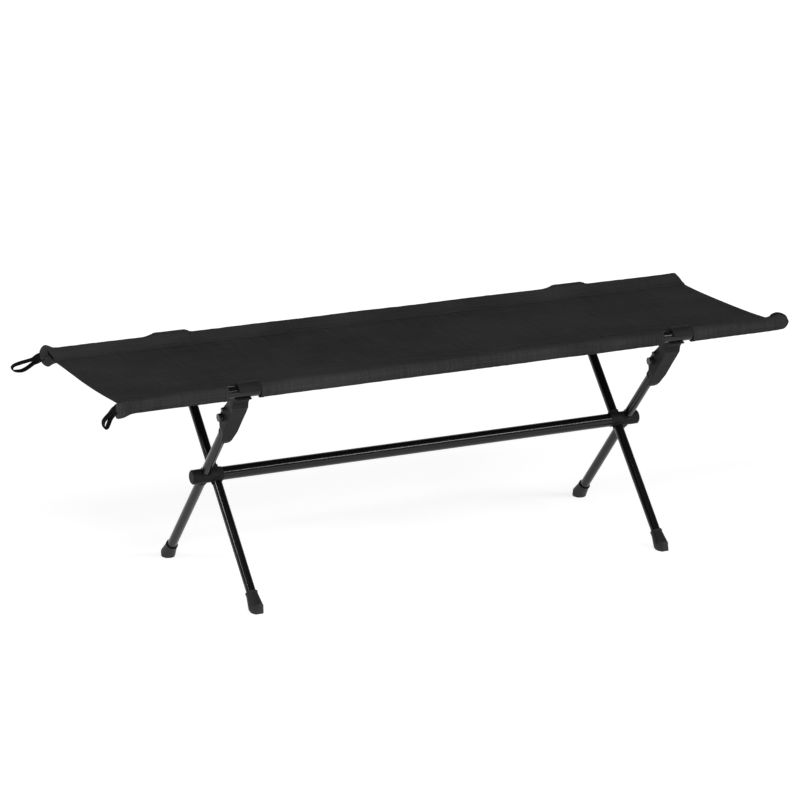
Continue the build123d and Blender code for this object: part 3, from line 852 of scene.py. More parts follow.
@dataclass
class Sheet:
    """The cloth bed between the two seams, with a hem at each end and a band sewn on along the levers.

    Attributes:
        layout: places read from the frame.
        band: Y of the band's seam.
        cloth: thickness of one layer.
        hem_layers: layers at a hem.
        hem: width of a hem.
        edge: rounding of the cut edges.
        gap: distance of its long edges from the seams.
        sag: how far the middle hangs below the seams.
        slack: height of the long waves in the bed.
        flare: height of the waves at its ends.
        flare_length: distance from an end over which they fade.
        flare_turn: their phase over half the width, in radians.
        end_curve: how far an end is drawn in at its middle.
        slant: how much shorter the far side is than the near side, at the right end.
        spacing: distance between rows and columns of the mesh.
        gather: height of the small folds that the seams draw.
        fold_slant: how far those folds slant.
        fold_fade: share of the half width over which they fade at a seam.
        hem_steps: distances of the first columns from an end, in millimetres.
        folds: the small folds.
        waves: the long waves.
    """

    layout: Layout
    band: float = -95 * MM
    cloth: float = 0.9 * MM
    hem_layers: float = 2.2
    hem: float = 11 * MM
    edge: float = 0.3 * MM
    gap: float = 0.2 * MM
    sag: float = 4 * MM
    slack: float = 0.8 * MM
    flare: float = 1.0 * MM
    flare_length: float = 0.07
    flare_turn: float = 2.6
    end_curve: float = 2 * MM
    slant: float = 12 * MM
    spacing: float = 5.6 * MM
    gather: float = 0.3 * MM
    fold_slant: float = 0.35
    fold_fade: float = 0.03
    hem_steps: tuple[float, ...] = (0, 0.5, 1.6, 4, 7, 9.6, 10.7, 11.3, 12.2, 15, 19)
    folds: Ripple = field(default_factory=lambda: Ripple(11, 0.016, 0.06, 9))
    waves: Ripple = field(default_factory=lambda: Ripple(23, 0.12, 0.5, 8))

    def ends(self, y: np.ndarray) -> tuple[np.ndarray, np.ndarray]:
        """X of the left and of the right end at places across the bed.

        Args:
            y: places across the bed.

        Returns:
            The left end's and the right end's X.
        """
        share = y / self.layout.seam_y
        inwards = self.end_curve * (1 - share**2)
        right = self.layout.sheet_right - self.slant * (1 + share) / 2 - inwards
        return self.layout.sheet_left + inwards, right

    def height(self, x: np.ndarray, y: np.ndarray) -> np.ndarray:
        """Height of the cloth's middle surface.

        Args:
            x: places along the bed.
            y: places across it.

        Returns:
            One height for each place.
        """
        share = np.clip(np.abs(y) / self.layout.seam_y, 0, 1)
        middle = 1 - share**2
        drawn = self.gather * self.folds.at(x, self.fold_slant * y)
        folds = drawn * share**4 * smooth_step((1 - share) / self.fold_fade)
        slack = self.slack * self.waves.at(x, y) * middle
        left, right = self.ends(y)
        end = np.clip(1 - np.minimum(x - left, right - x) / self.flare_length, 0, 1)
        flare = self.flare * end**2 * np.sin(y / self.layout.seam_y * self.flare_turn + np.sign(x)) * middle
        return self.layout.seam_z - self.sag * middle + folds + slack + flare

    def build(self, material: Material) -> list[Piece]:
        """Build the bed and its near band, each as one closed piece.

        Args:
            material: their cloth.

        Returns:
            The bed and the band.
        """
        steps = np.array(self.hem_steps) * MM
        half = self.layout.seam_y - self.gap
        near = np.linspace(-half, self.band, round((self.band + half) / self.spacing) + 1)
        far = np.linspace(self.band, half, round((half - self.band) / self.spacing) + 1)
        y = np.concatenate([near, far[1:]])
        left, right = (end[:, None] for end in self.ends(y))
        first, last = left + steps[-1], right - steps[-1]
        columns = int((self.layout.sheet_right - self.layout.sheet_left) / self.spacing)
        middle = np.linspace(0, 1, columns)[None, 1:-1]
        x = np.concatenate([left + steps, first + middle * (last - first), right - steps[::-1]], axis=1)
        grid_y = np.repeat(y[:, None], x.shape[1], axis=1)
        points = np.stack([x, grid_y, self.height(x, grid_y)], axis=-1)
        share = np.full(x.shape, 1 / self.hem_layers)
        share[(x < left + self.hem) | (x > right - self.hem)] = 1.0
        pieces = []
        for name, part in (("sling_cloth", slice(len(near) - 1, None)), ("sling_near_band", slice(0, len(near)))):
            piece = surface(name, points[part], points[part, :, :2], material)
            pieces.append(thicken(piece, self.cloth * self.hem_layers, share[part].ravel(), self.edge))
        return pieces

    def band_row(self, inset: float, samples: int = 400) -> np.ndarray:
        """Line of stitching beside the band's seam, on the upper face.

        Args:
            inset: distance of the line from the seam.
            samples: number of points on the line.

        Returns:
            Points and upward normals of the row.
        """
        y = np.full(samples, self.band + inset)
        left, right = (end[0] for end in self.ends(y))
        x = np.linspace(left + self.hem, right - self.hem, samples)
        return level_row(x, y, self.height(x, y) + self.cloth / 2 + THREAD_LIFT)

    def hem_rows(self, inset: float, near: float, far: float, samples: int = 120) -> list[np.ndarray]:
        """Lines of stitching along both hems, on the upper face.

        Args:
            inset: distance of the line from the end.
            near: Y at which the lines start.
            far: Y at which they end.
            samples: number of points on a line.

        Returns:
            Points and upward normals of each row.
        """
        y = np.linspace(near, far, samples)
        left, right = self.ends(y)
        lift = self.cloth * self.hem_layers / 2
        return [level_row(x, y, self.height(x, y) + lift + THREAD_LIFT) for x in (left + inset, right - inset)]


@dataclass(frozen=True)
class EndForm:
    """Form of a sleeve's end, in millimetres by distance from the end.

    Attributes:
        rise: height of the cloth above the pole's centre line.
        fall: depth of the cloth below it.
        spread: half the width of the cloth across the pole.
        stations: distances at which the form has a section.
    """

    rise: Knots
    fall: Knots
    spread: Knots
    stations: tuple[float, ...] = (
        *(-0.25, 0, 0.5, 1.4, 2.6, 4, 6, 8, 10, 11.4, 12, 12.6),
        *(13.4, 14.2, 15.2, 16.4, 18, 20, 22, 24, 27, 30, 34),
    )


NEAR_STRIP = EndForm(
    rise=((-0.3, 5.0), (4, 5.8), (12, 6.2), (18, 8.4), (24, 10.5), (31, 11.05)),
    fall=((-0.3, 16.4), (3, 18.4), (12, 17.8), (18, 15.4), (24, 13.4), (31, 12.5)),
    spread=((-0.3, 1.5), (12, 1.5), (18, 5.0), (24, 9.4), (31, 11.05)),
)
FAR_STRIP = EndForm(
    rise=((-0.3, 8.6), (2, 13.0), (5, 16.2), (9, 17.8), (14, 16.4), (22, 12.6), (31, 11.05)),
    fall=((-0.3, 3.0), (2, 9.0), (6, 14.5), (11, 17.6), (15, 17.8), (20, 15.4), (31, 12.5)),
    spread=((-0.3, 1.5), (10, 1.6), (17, 5.0), (24, 9.6), (31, 11.05)),
)
NEAR_POUCH = EndForm(
    rise=(
        *((-2.2, 0.4), (0, 4.0), (3.5, 8.0), (8, 11.7), (13, 14.4), (18, 15.7)),
        *((22, 15.9), (27, 14.8), (32, 12.8), (37, 11.4), (46, 11.05)),
    ),
    fall=((-2.2, 1.6), (0.6, 5.6), (4, 9.2), (8, 11.4), (15, 12.1), (46, 12.5)),
    spread=((-2.2, 0.7), (-0.2, 1.9), (4, 4.2), (12, 7.4), (20, 10.0), (28, 10.9), (46, 11.05)),
    stations=(
        *(-2.4, -2.2, -1.6, -0.8, 0, 0.6, 1.4, 2.6, 4, 5.6, 7.5, 8.2, 9, 9.6),
        *(10, 10.6, 12, 14, 16, 18, 20, 22, 24, 27, 30, 34, 39),
    ),
)
FAR_CUT = EndForm(
    rise=((-1, 11.05), (40, 11.05)),
    fall=((-1, 12.2), (40, 12.5)),
    spread=((-1, 11.05), (40, 11.05)),
    stations=(-0.9, -0.7, -0.35, 0, 0.5, 1.5, 4, 6.8, 7.4, 10, 14, 19, 25),
)


@dataclass
class Sleeve:
    """A sewn tunnel round a pole, with a window at each hook, a flat left end and a closed right end.

    Its section is a line of points from the seam's upper lap over the pole to its lower lap, in distances
    inwards from the pole's centre line and heights above it.

    Attributes:
        layout: places read from the frame.
        side: long side that it is on.
        start: form of its left end.
        finish: form of its right end.
        slant: slant of the right end from upright, in degrees.
        cut_from: angle over the pole from which a window is cut, in degrees from the sleeve's inner side.
        tent: distance from the pole's centre line of cloth that lies over a hook; 0 where none does.
        tent_slopes: lengths over which that cloth rises at the left and falls at the right of a hook.
        cloth: thickness of one layer.
        ease: space between the pole and the cloth.
        lap: width of the laps at the seam.
        lap_fall: how far a lap closes onto the sheet at its edge.
        lap_edge: share of the full thickness that a lap has at its edge.
        window_margin: how far a window reaches past its hook at each side.
        window_reach: distance from the pole's centre line to which a window is cut.
        strip: length of the flat end.
        hem: width of the hem at a window.
        hem_layers: layers at that hem.
        edge: rounding of the cut edges.
        spacing: distance between sections.
        counts: points on a lap, on a tangent and round the pole.
        vent: cells round the section that stay open between the flat end and the seam.
        handles: lengths by which the section leaves the seam and meets the pole.
        unevenness: height of the small gathers, height of the swells and how deep both may go together.
        sheared: distance from the right end at which the slant starts, and length over which it grows.
    """

    # Seeds of the ripples; then the shortest wave, the longest wave and the number of waves of each.
    SEEDS = {Side.NEAR: 31, Side.FAR: 47}
    GATHERS = (0.014, 0.05, 9)
    SWELLS = (0.09, 0.4, 6)
    # Sections: steps beside a window in millimetres, number over it, margins of the even ones at the ends.
    HEM_STEPS = (0, 0.4, 1.4, 4, 6.4, 7.0, 7.6, 10)
    WINDOW_STEPS = 9
    EVEN_MARGINS = (30 * MM, 20 * MM)
    # Least distance of an even section from a closer one, as a share of the spacing.
    CLOSEST = 0.4
    # Samples on the forms of the left and the right end.
    END_SAMPLES = (80, 120)
    # Space at the slanted end, beside a hook and at the sheet's corner.
    END_CLEAR = 2 * MM
    HOOK_CLEAR = 1 * MM
    CORNER_GAP = 0.5 * MM
    # Lengths over which the laps are drawn in, at the left end, at a closed right end and at a slanted one.
    DRAWN_IN = (3 * MM, 2.5 * MM, 0.3 * MM)
    # Lengths of the left and the right end wall.
    WALLS = (0.25 * MM, 0.3 * MM)
    # Distance of the vent's middle from the sheet's corner, and half its length.
    VENT_PLACE = (0.4 * MM, 1.7 * MM)
    # Half widths between which the section goes from flat-sided to round, and the powers that shape it there.
    FLAT_WIDTHS = (2 * MM, 8 * MM)
    FLAT_POWERS = (0.3, 1.0)
    # Slack by which a row of points still counts as hemmed, at a window and at the slanted end.
    HEM_SLACK = (0.2 * MM, 0.1 * MM)

    layout: Layout
    side: Side
    start: EndForm
    finish: EndForm
    slant: float = 0.0
    cut_from: float = -90.0
    tent: float = 0.0
    tent_slopes: tuple[float, float] = (30 * MM, 7 * MM)
    cloth: float = 0.9 * MM
    ease: float = 0.6 * MM
    lap: float = 6 * MM
    lap_fall: float = 0.35 * MM
    lap_edge: float = 0.15
    window_margin: float = 4.5 * MM
    window_reach: float = 20 * MM
    strip: float = 12 * MM
    hem: float = 7 * MM
    hem_layers: float = 2.0
    edge: float = 0.28 * MM
    spacing: float = 5.5 * MM
    counts: tuple[int, int, int] = (5, 12, 44)
    vent: tuple[int, int] = (2, 9)
    handles: tuple[float, float] = (5 * MM, 8 * MM)
    unevenness: tuple[float, float, float] = (0.2 * MM, 0.3 * MM, 0.5 * MM)
    sheared: tuple[float, float] = (60 * MM, 55 * MM)

    def __post_init__(self) -> None:
        """Work out the section's main places and draw its unevenness."""
        self.radius = self.layout.pole_radius + self.ease + self.cloth / 2
        self.seam = self.layout.pole_y - self.layout.seam_y
        self.seam_drop = self.layout.pole_z - self.layout.seam_z
        self.lean = math.tan(math.radians(self.slant))
        self.end = self.layout.right[self.side] - 2 * (self.layout.pole_radius + self.END_CLEAR) * self.lean
        self.lap_end = min(self.layout.sheet_right, self.end)
        self.hooks = [sign * self.layout.hook_x[self.side] for sign in (-1, 1)]
        seed = self.SEEDS[self.side]
        self.gathers = Ripple(seed, *self.GATHERS)
        self.swell = Ripple(seed + 1, *self.SWELLS)

    def extent(self, x: np.ndarray, part: str) -> np.ndarray:
        """Rise, fall or spread of the cloth about the pole.

        Args:
            x: places along the bed.
            part: which of the three.

        Returns:
            One size for each place.
        """
        left = smooth_line(getattr(self.start, part), self.END_SAMPLES[0]) * MM
        right = smooth_line(getattr(self.finish, part), self.END_SAMPLES[1])[::-1] * MM
        where = np.concatenate([self.layout.left + left[:, 0], self.end - right[:, 0]])
        size = np.interp(x, where, np.concatenate([left[:, 1], right[:, 1]]))
        if not self.tent or part == "fall":
            return size
        half = self.layout.hook_width / 2 + self.HOOK_CLEAR
        rising, falling = self.tent_slopes
        for hook in self.hooks:
            up = smooth_step((x - hook + half + rising) / rising)
            size = size + (self.tent - size) * up * smooth_step((hook + half + falling - x) / falling)
        return size

    def around(self, x: np.ndarray, angle: np.ndarray) -> np.ndarray:
        """Cloth round the pole, flat-sided where it is narrow.

        Args:
            x: places along the bed.
            angle: angles about the pole's centre line, from its inner side over its top.

        Returns:
            Distances inwards and heights, as places by angles by 2.
        """
        rise, fall, spread = (self.extent(x, part)[:, None] for part in ("rise", "fall", "spread"))
        sine, cosine = np.sin(angle)[None, :], np.cos(angle)[None, :]
        flat = np.interp(spread, self.FLAT_WIDTHS, self.FLAT_POWERS)
        across = spread * np.sign(cosine) * np.abs(cosine) ** flat
        return np.stack([across, np.where(sine > 0, rise, fall) * sine], axis=-1)

    def _half_section(self, sign: int) -> tuple[np.ndarray, np.ndarray, float]:
        """Lap and tangent of the section's upper or lower half.

        Args:
            sign: 1 for the upper half, -1 for the lower.

        Returns:
            The lap's points, the tangent's points and the angle at which it meets the pole.
        """
        laps, tangents, _ = self.counts
        level = -self.seam_drop + sign * self.cloth
        inwards = np.linspace(self.lap, 0, laps)
        lap = np.stack([self.seam + inwards, level - sign * self.lap_fall * inwards / self.lap], axis=-1)
        away = math.hypot(self.seam, level)
        angle = math.atan2(level, self.seam) + sign * math.acos(self.radius / away)
        touch = self.radius * np.array([math.cos(angle), math.sin(angle)])
        first = np.array([self.seam, level])
        knee = first - [self.handles[0], 0]
        leave = touch + self.handles[1] * sign * np.array([math.sin(angle), -math.cos(angle)])
        share = np.linspace(0, 1, tangents + 2)[1:-1, None]
        rest = 1 - share
        line = rest**3 * first + 3 * rest**2 * share * knee + 3 * rest * share**2 * leave + share**3 * touch
        return lap, line, angle

    def gathered(self, x: np.ndarray) -> np.ndarray:
        """Share by which the laps are drawn into the closed ends.

        Args:
            x: places along the bed.

        Returns:
            One share for each place.
        """
        start, closed, slanted = self.DRAWN_IN
        left = smooth_step((self.layout.sheet_left + self.CORNER_GAP - x) / start)
        return left + smooth_step((x - self.lap_end) / (slanted if self.slant else closed))

    def wall(self, x: np.ndarray) -> np.ndarray:
        """Scale of the section, which shrinks to nothing across the end walls.

        Args:
            x: places along the bed.

        Returns:
            One scale for each place.
        """
        tip = self.end - self.finish.stations[0] * MM
        first, last = self.WALLS
        places = [self.layout.left - first, self.layout.left, self.end, tip - last, tip]
        return np.interp(x, places, [0.05, 1, 1, 0.9 if self.slant else 1, 0.03])

    def sections(self, x: np.ndarray) -> np.ndarray:
        """Section points at each place along the bed.

        Args:
            x: places along the bed.

        Returns:
            Distances inwards and heights, as places by points by 2.
        """
        upper, lower = self._half_section(1), self._half_section(-1)
        angle = np.linspace(upper[2], lower[2] + 2 * math.pi, self.counts[2])
        arc = self.around(x, angle)
        halves = []
        for (lap, tangent, meet), index in ((upper, 0), (lower, -1)):
            shift = arc[:, index] - self.radius * np.array([math.cos(meet), math.sin(meet)])
            follow = np.linspace(0, 1, len(tangent) + 2)[1:-1]
            moved = tangent[None] + follow[None, :, None] * shift[:, None, :]
            halves.append(np.concatenate([np.broadcast_to(lap, (len(x), *lap.shape)), moved], axis=1))
        open_shape = np.concatenate([halves[0], arc, halves[1][:, ::-1]], axis=1)
        closed = self.around(x, np.linspace(0.02, 2 * math.pi - 0.02, open_shape.shape[1]))
        share = self.gathered(x)[:, None, None]
        shape = (1 - share) * open_shape + share * closed
        distance = np.linalg.norm(shape, axis=-1, keepdims=True)
        loose = np.clip(1 - np.abs(distance - self.radius) / self.lap, 0, 1)
        lines = np.linspace(0, 0.12, shape.shape[1])[None, :]
        small, large, deepest = self.unevenness
        uneven = self.gathers.at(x[:, None], 0.5 * lines) * small + self.swell.at(x[:, None], lines) * large
        shape = shape + shape / distance * loose * np.maximum(uneven, -deepest)[..., None]
        return shape * self.wall(x)[:, None, None]

    def place(self, x: np.ndarray, section: np.ndarray) -> np.ndarray:
        """Turn section points into places in the frame.

        Args:
            x: places of the sections along the bed.
            section: their points, as distances inwards and heights.

        Returns:
            The points' places.
        """
        y = self.side.value * (self.layout.pole_y - section[..., 0])
        z = self.layout.pole_z + section[..., 1]
        near_end = smooth_step((x - self.end + self.sheared[0]) / self.sheared[1])[:, None]
        lapped = np.clip((section[..., 0] - self.radius) / (self.seam - self.radius), 0, 1)
        shear = near_end * self.lean * (self.radius - section[..., 1]) * (1 - 0.5 * lapped)
        return np.stack([x[:, None] + shear, y, z], axis=-1)

    def windows(self) -> list[tuple[float, float]]:
        """Start and stop of each window along the bed."""
        half = self.layout.hook_width / 2 + self.window_margin
        return [(hook - half, hook + half) for hook in self.hooks]

    def window_cells(self) -> np.ndarray:
        """Say which cells round the section a window takes.

        Returns:
            For each cell, whether it is cut.
        """
        section = self.sections(np.zeros(1))[0]
        reach = np.linalg.norm(section, axis=-1)
        angle = np.unwrap(np.arctan2(section[:, 1], section[:, 0]))
        return ((reach[1:] + reach[:-1]) / 2 < self.window_reach) & (angle[:-1] > math.radians(self.cut_from))

    def stations(self) -> np.ndarray:
        """Place the sections along the bed: evenly, and closer at hems and ends.

        Returns:
            Their X.
        """
        fine = [self.layout.left + MM * step for step in self.start.stations]
        fine += [self.end - MM * step for step in self.finish.stations]
        hem = np.array(self.HEM_STEPS) * MM
        even = np.arange(self.layout.left + self.EVEN_MARGINS[0], self.end - self.EVEN_MARGINS[1], self.spacing)
        inside = np.zeros(len(even), dtype=bool)
        for start, stop in self.windows():
            fine += [*(start - hem), *(stop + hem), *np.linspace(start, stop, self.WINDOW_STEPS)[1:-1]]
            inside |= (even > start - hem[-1]) & (even < stop + hem[-1])
        gap = np.min(np.abs(even[:, None] - np.sort(fine)[None, :]), axis=1)
        return np.sort(np.concatenate([fine, even[(gap > self.CLOSEST * self.spacing) & ~inside]]))

    def build(self, material: Material, tape: Material) -> Piece:
        """Build the sleeve as one closed piece.

        Args:
            material: its cloth.
            tape: the cloth that binds its flat end.

        Returns:
            The sleeve.
        """
        x = self.stations()
        points = self.place(x, self.sections(x))
        girth = np.cumsum(np.linalg.norm(np.diff(self.sections(np.zeros(1))[0], axis=0), axis=1))
        around = self.layout.seam_y + np.concatenate([[0], girth])
        uv = np.stack(np.broadcast_arrays(x[:, None], around[None, :]), axis=-1)
        middle = (x[1:] + x[:-1]) / 2
        cut = self.window_cells()
        beside = np.append(cut, False) | np.insert(cut, 0, False)
        keep = np.ones((len(x) - 1, len(cut)), dtype=bool)
        share = np.full(points.shape[:2], 1 / self.hem_layers)
        corner = np.abs(middle - self.layout.sheet_left + self.VENT_PLACE[0]) < self.VENT_PLACE[1]
        keep[np.ix_(corner, np.arange(*self.vent))] = False
        laps = self.counts[0]
        thinning = np.linspace(self.lap_edge, 1 / self.hem_layers, laps)
        sewn = self.gathered(x) < 0.5
        share[sewn, :laps], share[sewn, -laps:] = thinning, thinning[::-1]
        for start, stop in self.windows():
            keep &= ~(((middle > start) & (middle < stop))[:, None] & cut[None, :])
            hemmed = np.minimum(np.abs(x - start), np.abs(x - stop)) < self.hem - self.HEM_SLACK[0]
            share[np.ix_(hemmed, beside)] = 1.0
        if self.slant:
            share[x > self.end - self.hem - self.HEM_SLACK[1]] = 1.0
        if self.side is Side.NEAR:
            points, uv, keep, share = (grid[:, ::-1] for grid in (points, uv, keep, share))
        piece = surface(f"{self.side.label}_sleeve_cloth", points, uv, material, keep)
        piece.data.materials.append(tape)
        for polygon in piece.data.polygons:
            polygon.material_index = int(polygon.center.x < self.layout.left + self.strip)
        return thicken(piece, self.cloth * self.hem_layers, share.ravel(), self.edge)

    def seam_rows(self, insets: Sequence[float], margin: float = 4 * MM, samples: int = 400) -> list[np.ndarray]:
        """Lines of stitching along the seam's upper lap.

        Args:
            insets: distances of the lines from the pole's centre line.
            margin: how far a line stops short of the lap's ends.
            samples: number of points on a line.

        Returns:
            Points and upward normals of each row.
        """
        x = np.linspace(self.layout.sheet_left + margin, self.lap_end - margin, samples)
        rows = []
        for inset in insets:
            share = (inset - self.seam) / self.lap
            full = self.cloth * self.hem_layers * ((1 - share) / self.hem_layers + share * self.lap_edge) / 2
            z = self.layout.seam_z + self.cloth - self.lap_fall * share + full + THREAD_LIFT
            rows.append(level_row(x, self.side.value * (self.layout.pole_y - inset), z))
        return rows

    def window_rows(self, inset: float) -> list[np.ndarray]:
        """Lines of stitching down both sides of each window.

        Args:
            inset: distance of the line from the window's edge.

        Returns:
            Points and upward normals of each row.
        """
        cut = np.flatnonzero(self.window_cells())
        part = slice(cut[0] + 1, cut[-1])
        rows = []
        for x in [x for start, stop in self.windows() for x in (start - inset, stop + inset)]:
            section = self.sections(np.array([x]))[0, part]
            outward = section / np.linalg.norm(section, axis=1, keepdims=True)
            section = section + outward * (self.cloth * self.hem_layers / 2 + THREAD_LIFT)
            places = self.place(np.array([x]), section[None])[0]
            normal = np.stack([0 * outward[:, 0], -self.side.value * outward[:, 0], outward[:, 1]], axis=-1)
            rows.append(np.concatenate([places, normal], axis=1))
        return rows


@dataclass
class Tape:
    """A narrow tape that runs along a line in an upright plane, such as a pull loop, or the dark ridge of painted
    shade along the top of the near sleeve's closed end.

    Attributes:
        name: name of the piece.
        origin: place that its course is measured from.
        outward: sign of X in which the course's distances run.
        course: places that the tape runs through, as distances out and heights, in millimetres.
        width: width of the tape, along Y.
        thickness: thickness of the tape.
        sway: how far its outermost point leans along Y.
        taper: length over which both ends thin out.
        twist: length over which it turns from lying upright; 0 for a tape that doesn't turn.
        tilt: turn of its runs towards upright, in degrees.
        root: length at each end that is sewn in upright.
        samples: number of sections along it.
        corners: number of points round a section.
    """

    # Powers that round a section's width and thickness.
    ROUNDING = (0.35, 0.7)
    # Share of the full section that is left at an end.
    POINT = 0.0004
    # Share of the length over which the turn changes sides.
    TURNOVER = 0.3
    # Distance within which points are joined.
    JOIN = 0.001 * MM

    name: str
    origin: Sequence[float]
    outward: int
    course: Knots
    width: float = 10 * MM
    thickness: float = 1.8 * MM
    sway: float = 1.5 * MM
    taper: float = 0.1 * MM
    twist: float = 0.0
    tilt: float = 0.0
    root: float = 8 * MM
    samples: int = 110
    corners: int = 25

    def roll(self, run: np.ndarray) -> tuple[np.ndarray, np.ndarray]:
        """Turn of the tape about its own length, and the side that its two runs lie on at the roots.

        Args:
            run: distances along the tape.

        Returns:
            The turns in radians, and the shift along Y.
        """
        if not self.twist:
            return np.zeros_like(run), np.zeros_like(run)
        half = 2 * smooth_step(0.5 + (run[-1] / 2 - run) / (self.TURNOVER * run[-1])) - 1
        free = smooth_step((np.minimum(run, run[-1] - run) - self.root) / self.twist)
        return np.radians(90 - (90 - self.tilt) * free) * half, half * (1 - free) * self.thickness / 2

    def build(self, material: Material) -> Piece:
        """Build the tape as one closed piece.

        Args:
            material: its weave.

        Returns:
            The tape.
        """
        line = smooth_line(self.course, self.samples) * MM
        ahead = np.gradient(line, axis=0)
        ahead /= np.linalg.norm(ahead, axis=1, keepdims=True)
        normal = np.stack([-ahead[:, 1], ahead[:, 0]], axis=-1)
        run = np.concatenate([[0], np.cumsum(np.linalg.norm(np.diff(line, axis=0), axis=1))])
        full = np.sqrt(np.clip(np.minimum(run, run[-1] - run) / self.taper, self.POINT, 1))[:, None]
        angle = np.linspace(0, 2 * math.pi, self.corners)
        wide, thick = self.ROUNDING
        across = np.sign(np.cos(angle)) * np.abs(np.cos(angle)) ** wide * self.width / 2
        through = np.sign(np.sin(angle)) * np.abs(np.sin(angle)) ** thick * self.thickness / 2 * full
        turn, aside = self.roll(run)
        lean = self.sway * (line[:, 0] / np.abs(line[:, 0]).max()) ** 2 + aside
        sine, cosine = np.sin(turn)[:, None], np.cos(turn)[:, None]
        across = across[None, :] * full
        upward = across * sine + through * cosine
        x = self.origin[0] + self.outward * (line[:, :1] + normal[:, :1] * upward)
        y = self.origin[1] + lean[:, None] + across * cosine - through * sine
        z = self.origin[2] + line[:, 1:] + normal[:, 1:] * upward
        uv = np.stack(np.broadcast_arrays(run[:, None], across), axis=-1)
        points = np.stack([x, y, z], axis=-1)
        if self.outward > 0:
            points, uv = points[:, ::-1], uv[:, ::-1]
        piece = surface(self.name, points, uv, material)
        piece.modifiers.new("join", "WELD").merge_threshold = self.JOIN
        return bake(piece)


class Sling:
    """The cloth sling: bed, sleeves with bound left ends, stitching, a dark ridge of painted shade on the near
    sleeve's right end, and pull loops, on the bodies that carry them.
    """

    CARRIERS = {Side.FAR: Body.BEAM, Side.NEAR: Body.RAIL}
    HEM_LINES = (9.0 * MM, 2.2 * MM)
    SEAM_LINES = (26.2 * MM, 29.4 * MM)
    WINDOW_LINE = 4.6 * MM
    BAND_LINE = 1.8 * MM
    FREE_HEM = 9 * MM
    LAP_CLEAR = 7 * MM
    # How far the dark ridge of painted shade sinks into the top of the near sleeve's closed end, in millimetres.
    SHADE_RIDGE_SINK = 1.2
    COURSES: dict[Side, Knots] = {
        Side.FAR: (
            *((-9, 3.0), (-3, 2.4), (4, -0.2), (10, -2.4), (18, -4.2), (28.6, -6.0), (38, -8.0), (44.5, -10.0)),
            *((48, -13.4), (46.5, -17.8), (41, -19.8), (32, -20.0), (24, -17.2), (17.9, -13.7), (10, -9.0)),
            *((3.6, -5.6), (-3, -3.4), (-9, -2.6)),
        ),
        Side.NEAR: (
            *((-9, 1.6), (-3, 1.0), (0.6, -1.6), (4.6, -4.8), (8.6, -7.8), (12.6, -11.3), (16.8, -15.5)),
            *((20.2, -19.9), (21, -25.4), (20.1, -29.7), (17.9, -31.6), (15, -29.9), (13.2, -26), (10, -18.8)),
            *((6.2, -12.1), (1.7, -6.2), (-3, -3.4), (-9, -2.6)),
        ),
    }

    def __init__(self, layout: Layout) -> None:
        """Prepare the finishes and the parts.

        Args:
            layout: places read from the frame.
        """
        self.layout = layout
        self.cloth = ClothFinish("sling_weave", (0.017, 0.017, 0.0173), (0.05, 0.05, 0.051)).material()
        self.tape = ClothFinish("end_binding", (0.015, 0.015, 0.0153), (0.06, 0.06, 0.061), 1.0 * MM).material()
        self.webbing = WebbingFinish().material()
        self.stitches = StitchTree(ThreadFinish().material())
        self.sheet = Sheet(layout)
        far = {"slant": 26.0, "cut_from": 102.0, "tent": 15.9 * MM, "strip": 14.5 * MM}
        self.sleeves = {
            Side.NEAR: Sleeve(layout, Side.NEAR, NEAR_STRIP, NEAR_POUCH),
            Side.FAR: Sleeve(layout, Side.FAR, FAR_STRIP, FAR_CUT, **far),
        }

    def build(self) -> None:
        """Build every piece of the sling, and put the sleeves with their stitches, the band's stitches and the tapes
        on their bodies.
        """
        self.bed()
        for side, sleeve in self.sleeves.items():
            piece = sleeve.build(self.cloth, self.tape)
            self.finish(piece, Slot.CLOTH, f"{side.label}_sleeve")
            seam = self.stitches.sew(f"{side.label}_seam_stitches", sleeve.seam_rows(self.SEAM_LINES))
            edge = self.stitches.sew(f"{side.label}_window_stitches", sleeve.window_rows(self.WINDOW_LINE))
            for part in (piece, seam, edge):
                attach(part, self.CARRIERS[side].value)
        self.tapes()

    def bed(self) -> None:
        """Build the bed and its near band with their hem stitches, and the stitches along the band's seam."""
        seam, middle = self.layout.seam_y, self.sheet.band
        bed, band = self.sheet.build(self.cloth)
        hem = (middle + self.BAND_LINE, seam - self.FREE_HEM)
        self.hang(bed, "hem_stitches", hem)
        hem = (self.FREE_HEM - seam, middle - self.BAND_LINE)
        self.hang(band, "near_hem_stitches", hem)
        self.declare(bed)
        self.declare(band)
        line = self.stitches.sew("band_stitches", [self.sheet.band_row(self.BAND_LINE)])
        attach(line, Body.SWING.value)

    def hang(
        self, piece: Piece, stitch_name: str, hem: Sequence[float]
    ) -> None:
        """Hide the frame's sheet node for a piece of the bed, sew its hem stitches and bake both into the frame's
        axes.

        Args:
            piece: the bed or its band.
            stitch_name: name of its hem stitches.
            hem: Y at which its hem stitches start and end.
        """
        self.finish(piece, Slot.CLOTH, "sling_sheet")
        rows = [row for inset in self.HEM_LINES for row in self.sheet.hem_rows(inset, *hem)]
        for part in (piece, self.stitches.sew(stitch_name, rows)):
            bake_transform(part)

    def declare(self, piece: Piece) -> None:
        """Work out the X of the ends at a piece of the bed's points; nothing is done with them.

        Args:
            piece: the bed or its band.
        """
        left, right = self.sheet.ends(np.array([vertex.co.y for vertex in piece.data.vertices]))

    def tapes(self) -> None:
        """Build the pull loops at the left end, and a dark ridge of webbing along the top of the near sleeve's right
        end, which is painted shade for the fold there.
        """
        for side, course in self.COURSES.items():
            origin = (self.layout.left, side.value * self.layout.pole_y, self.layout.pole_z)
            loop = Tape(f"{side.label}_loop_webbing", origin, -1, course, twist=16 * MM, tilt=16).build(self.webbing)
            self.finish(loop, Slot.WEBBING, f"{side.label}_pull_loop")
            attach(loop, self.CARRIERS[side].value)
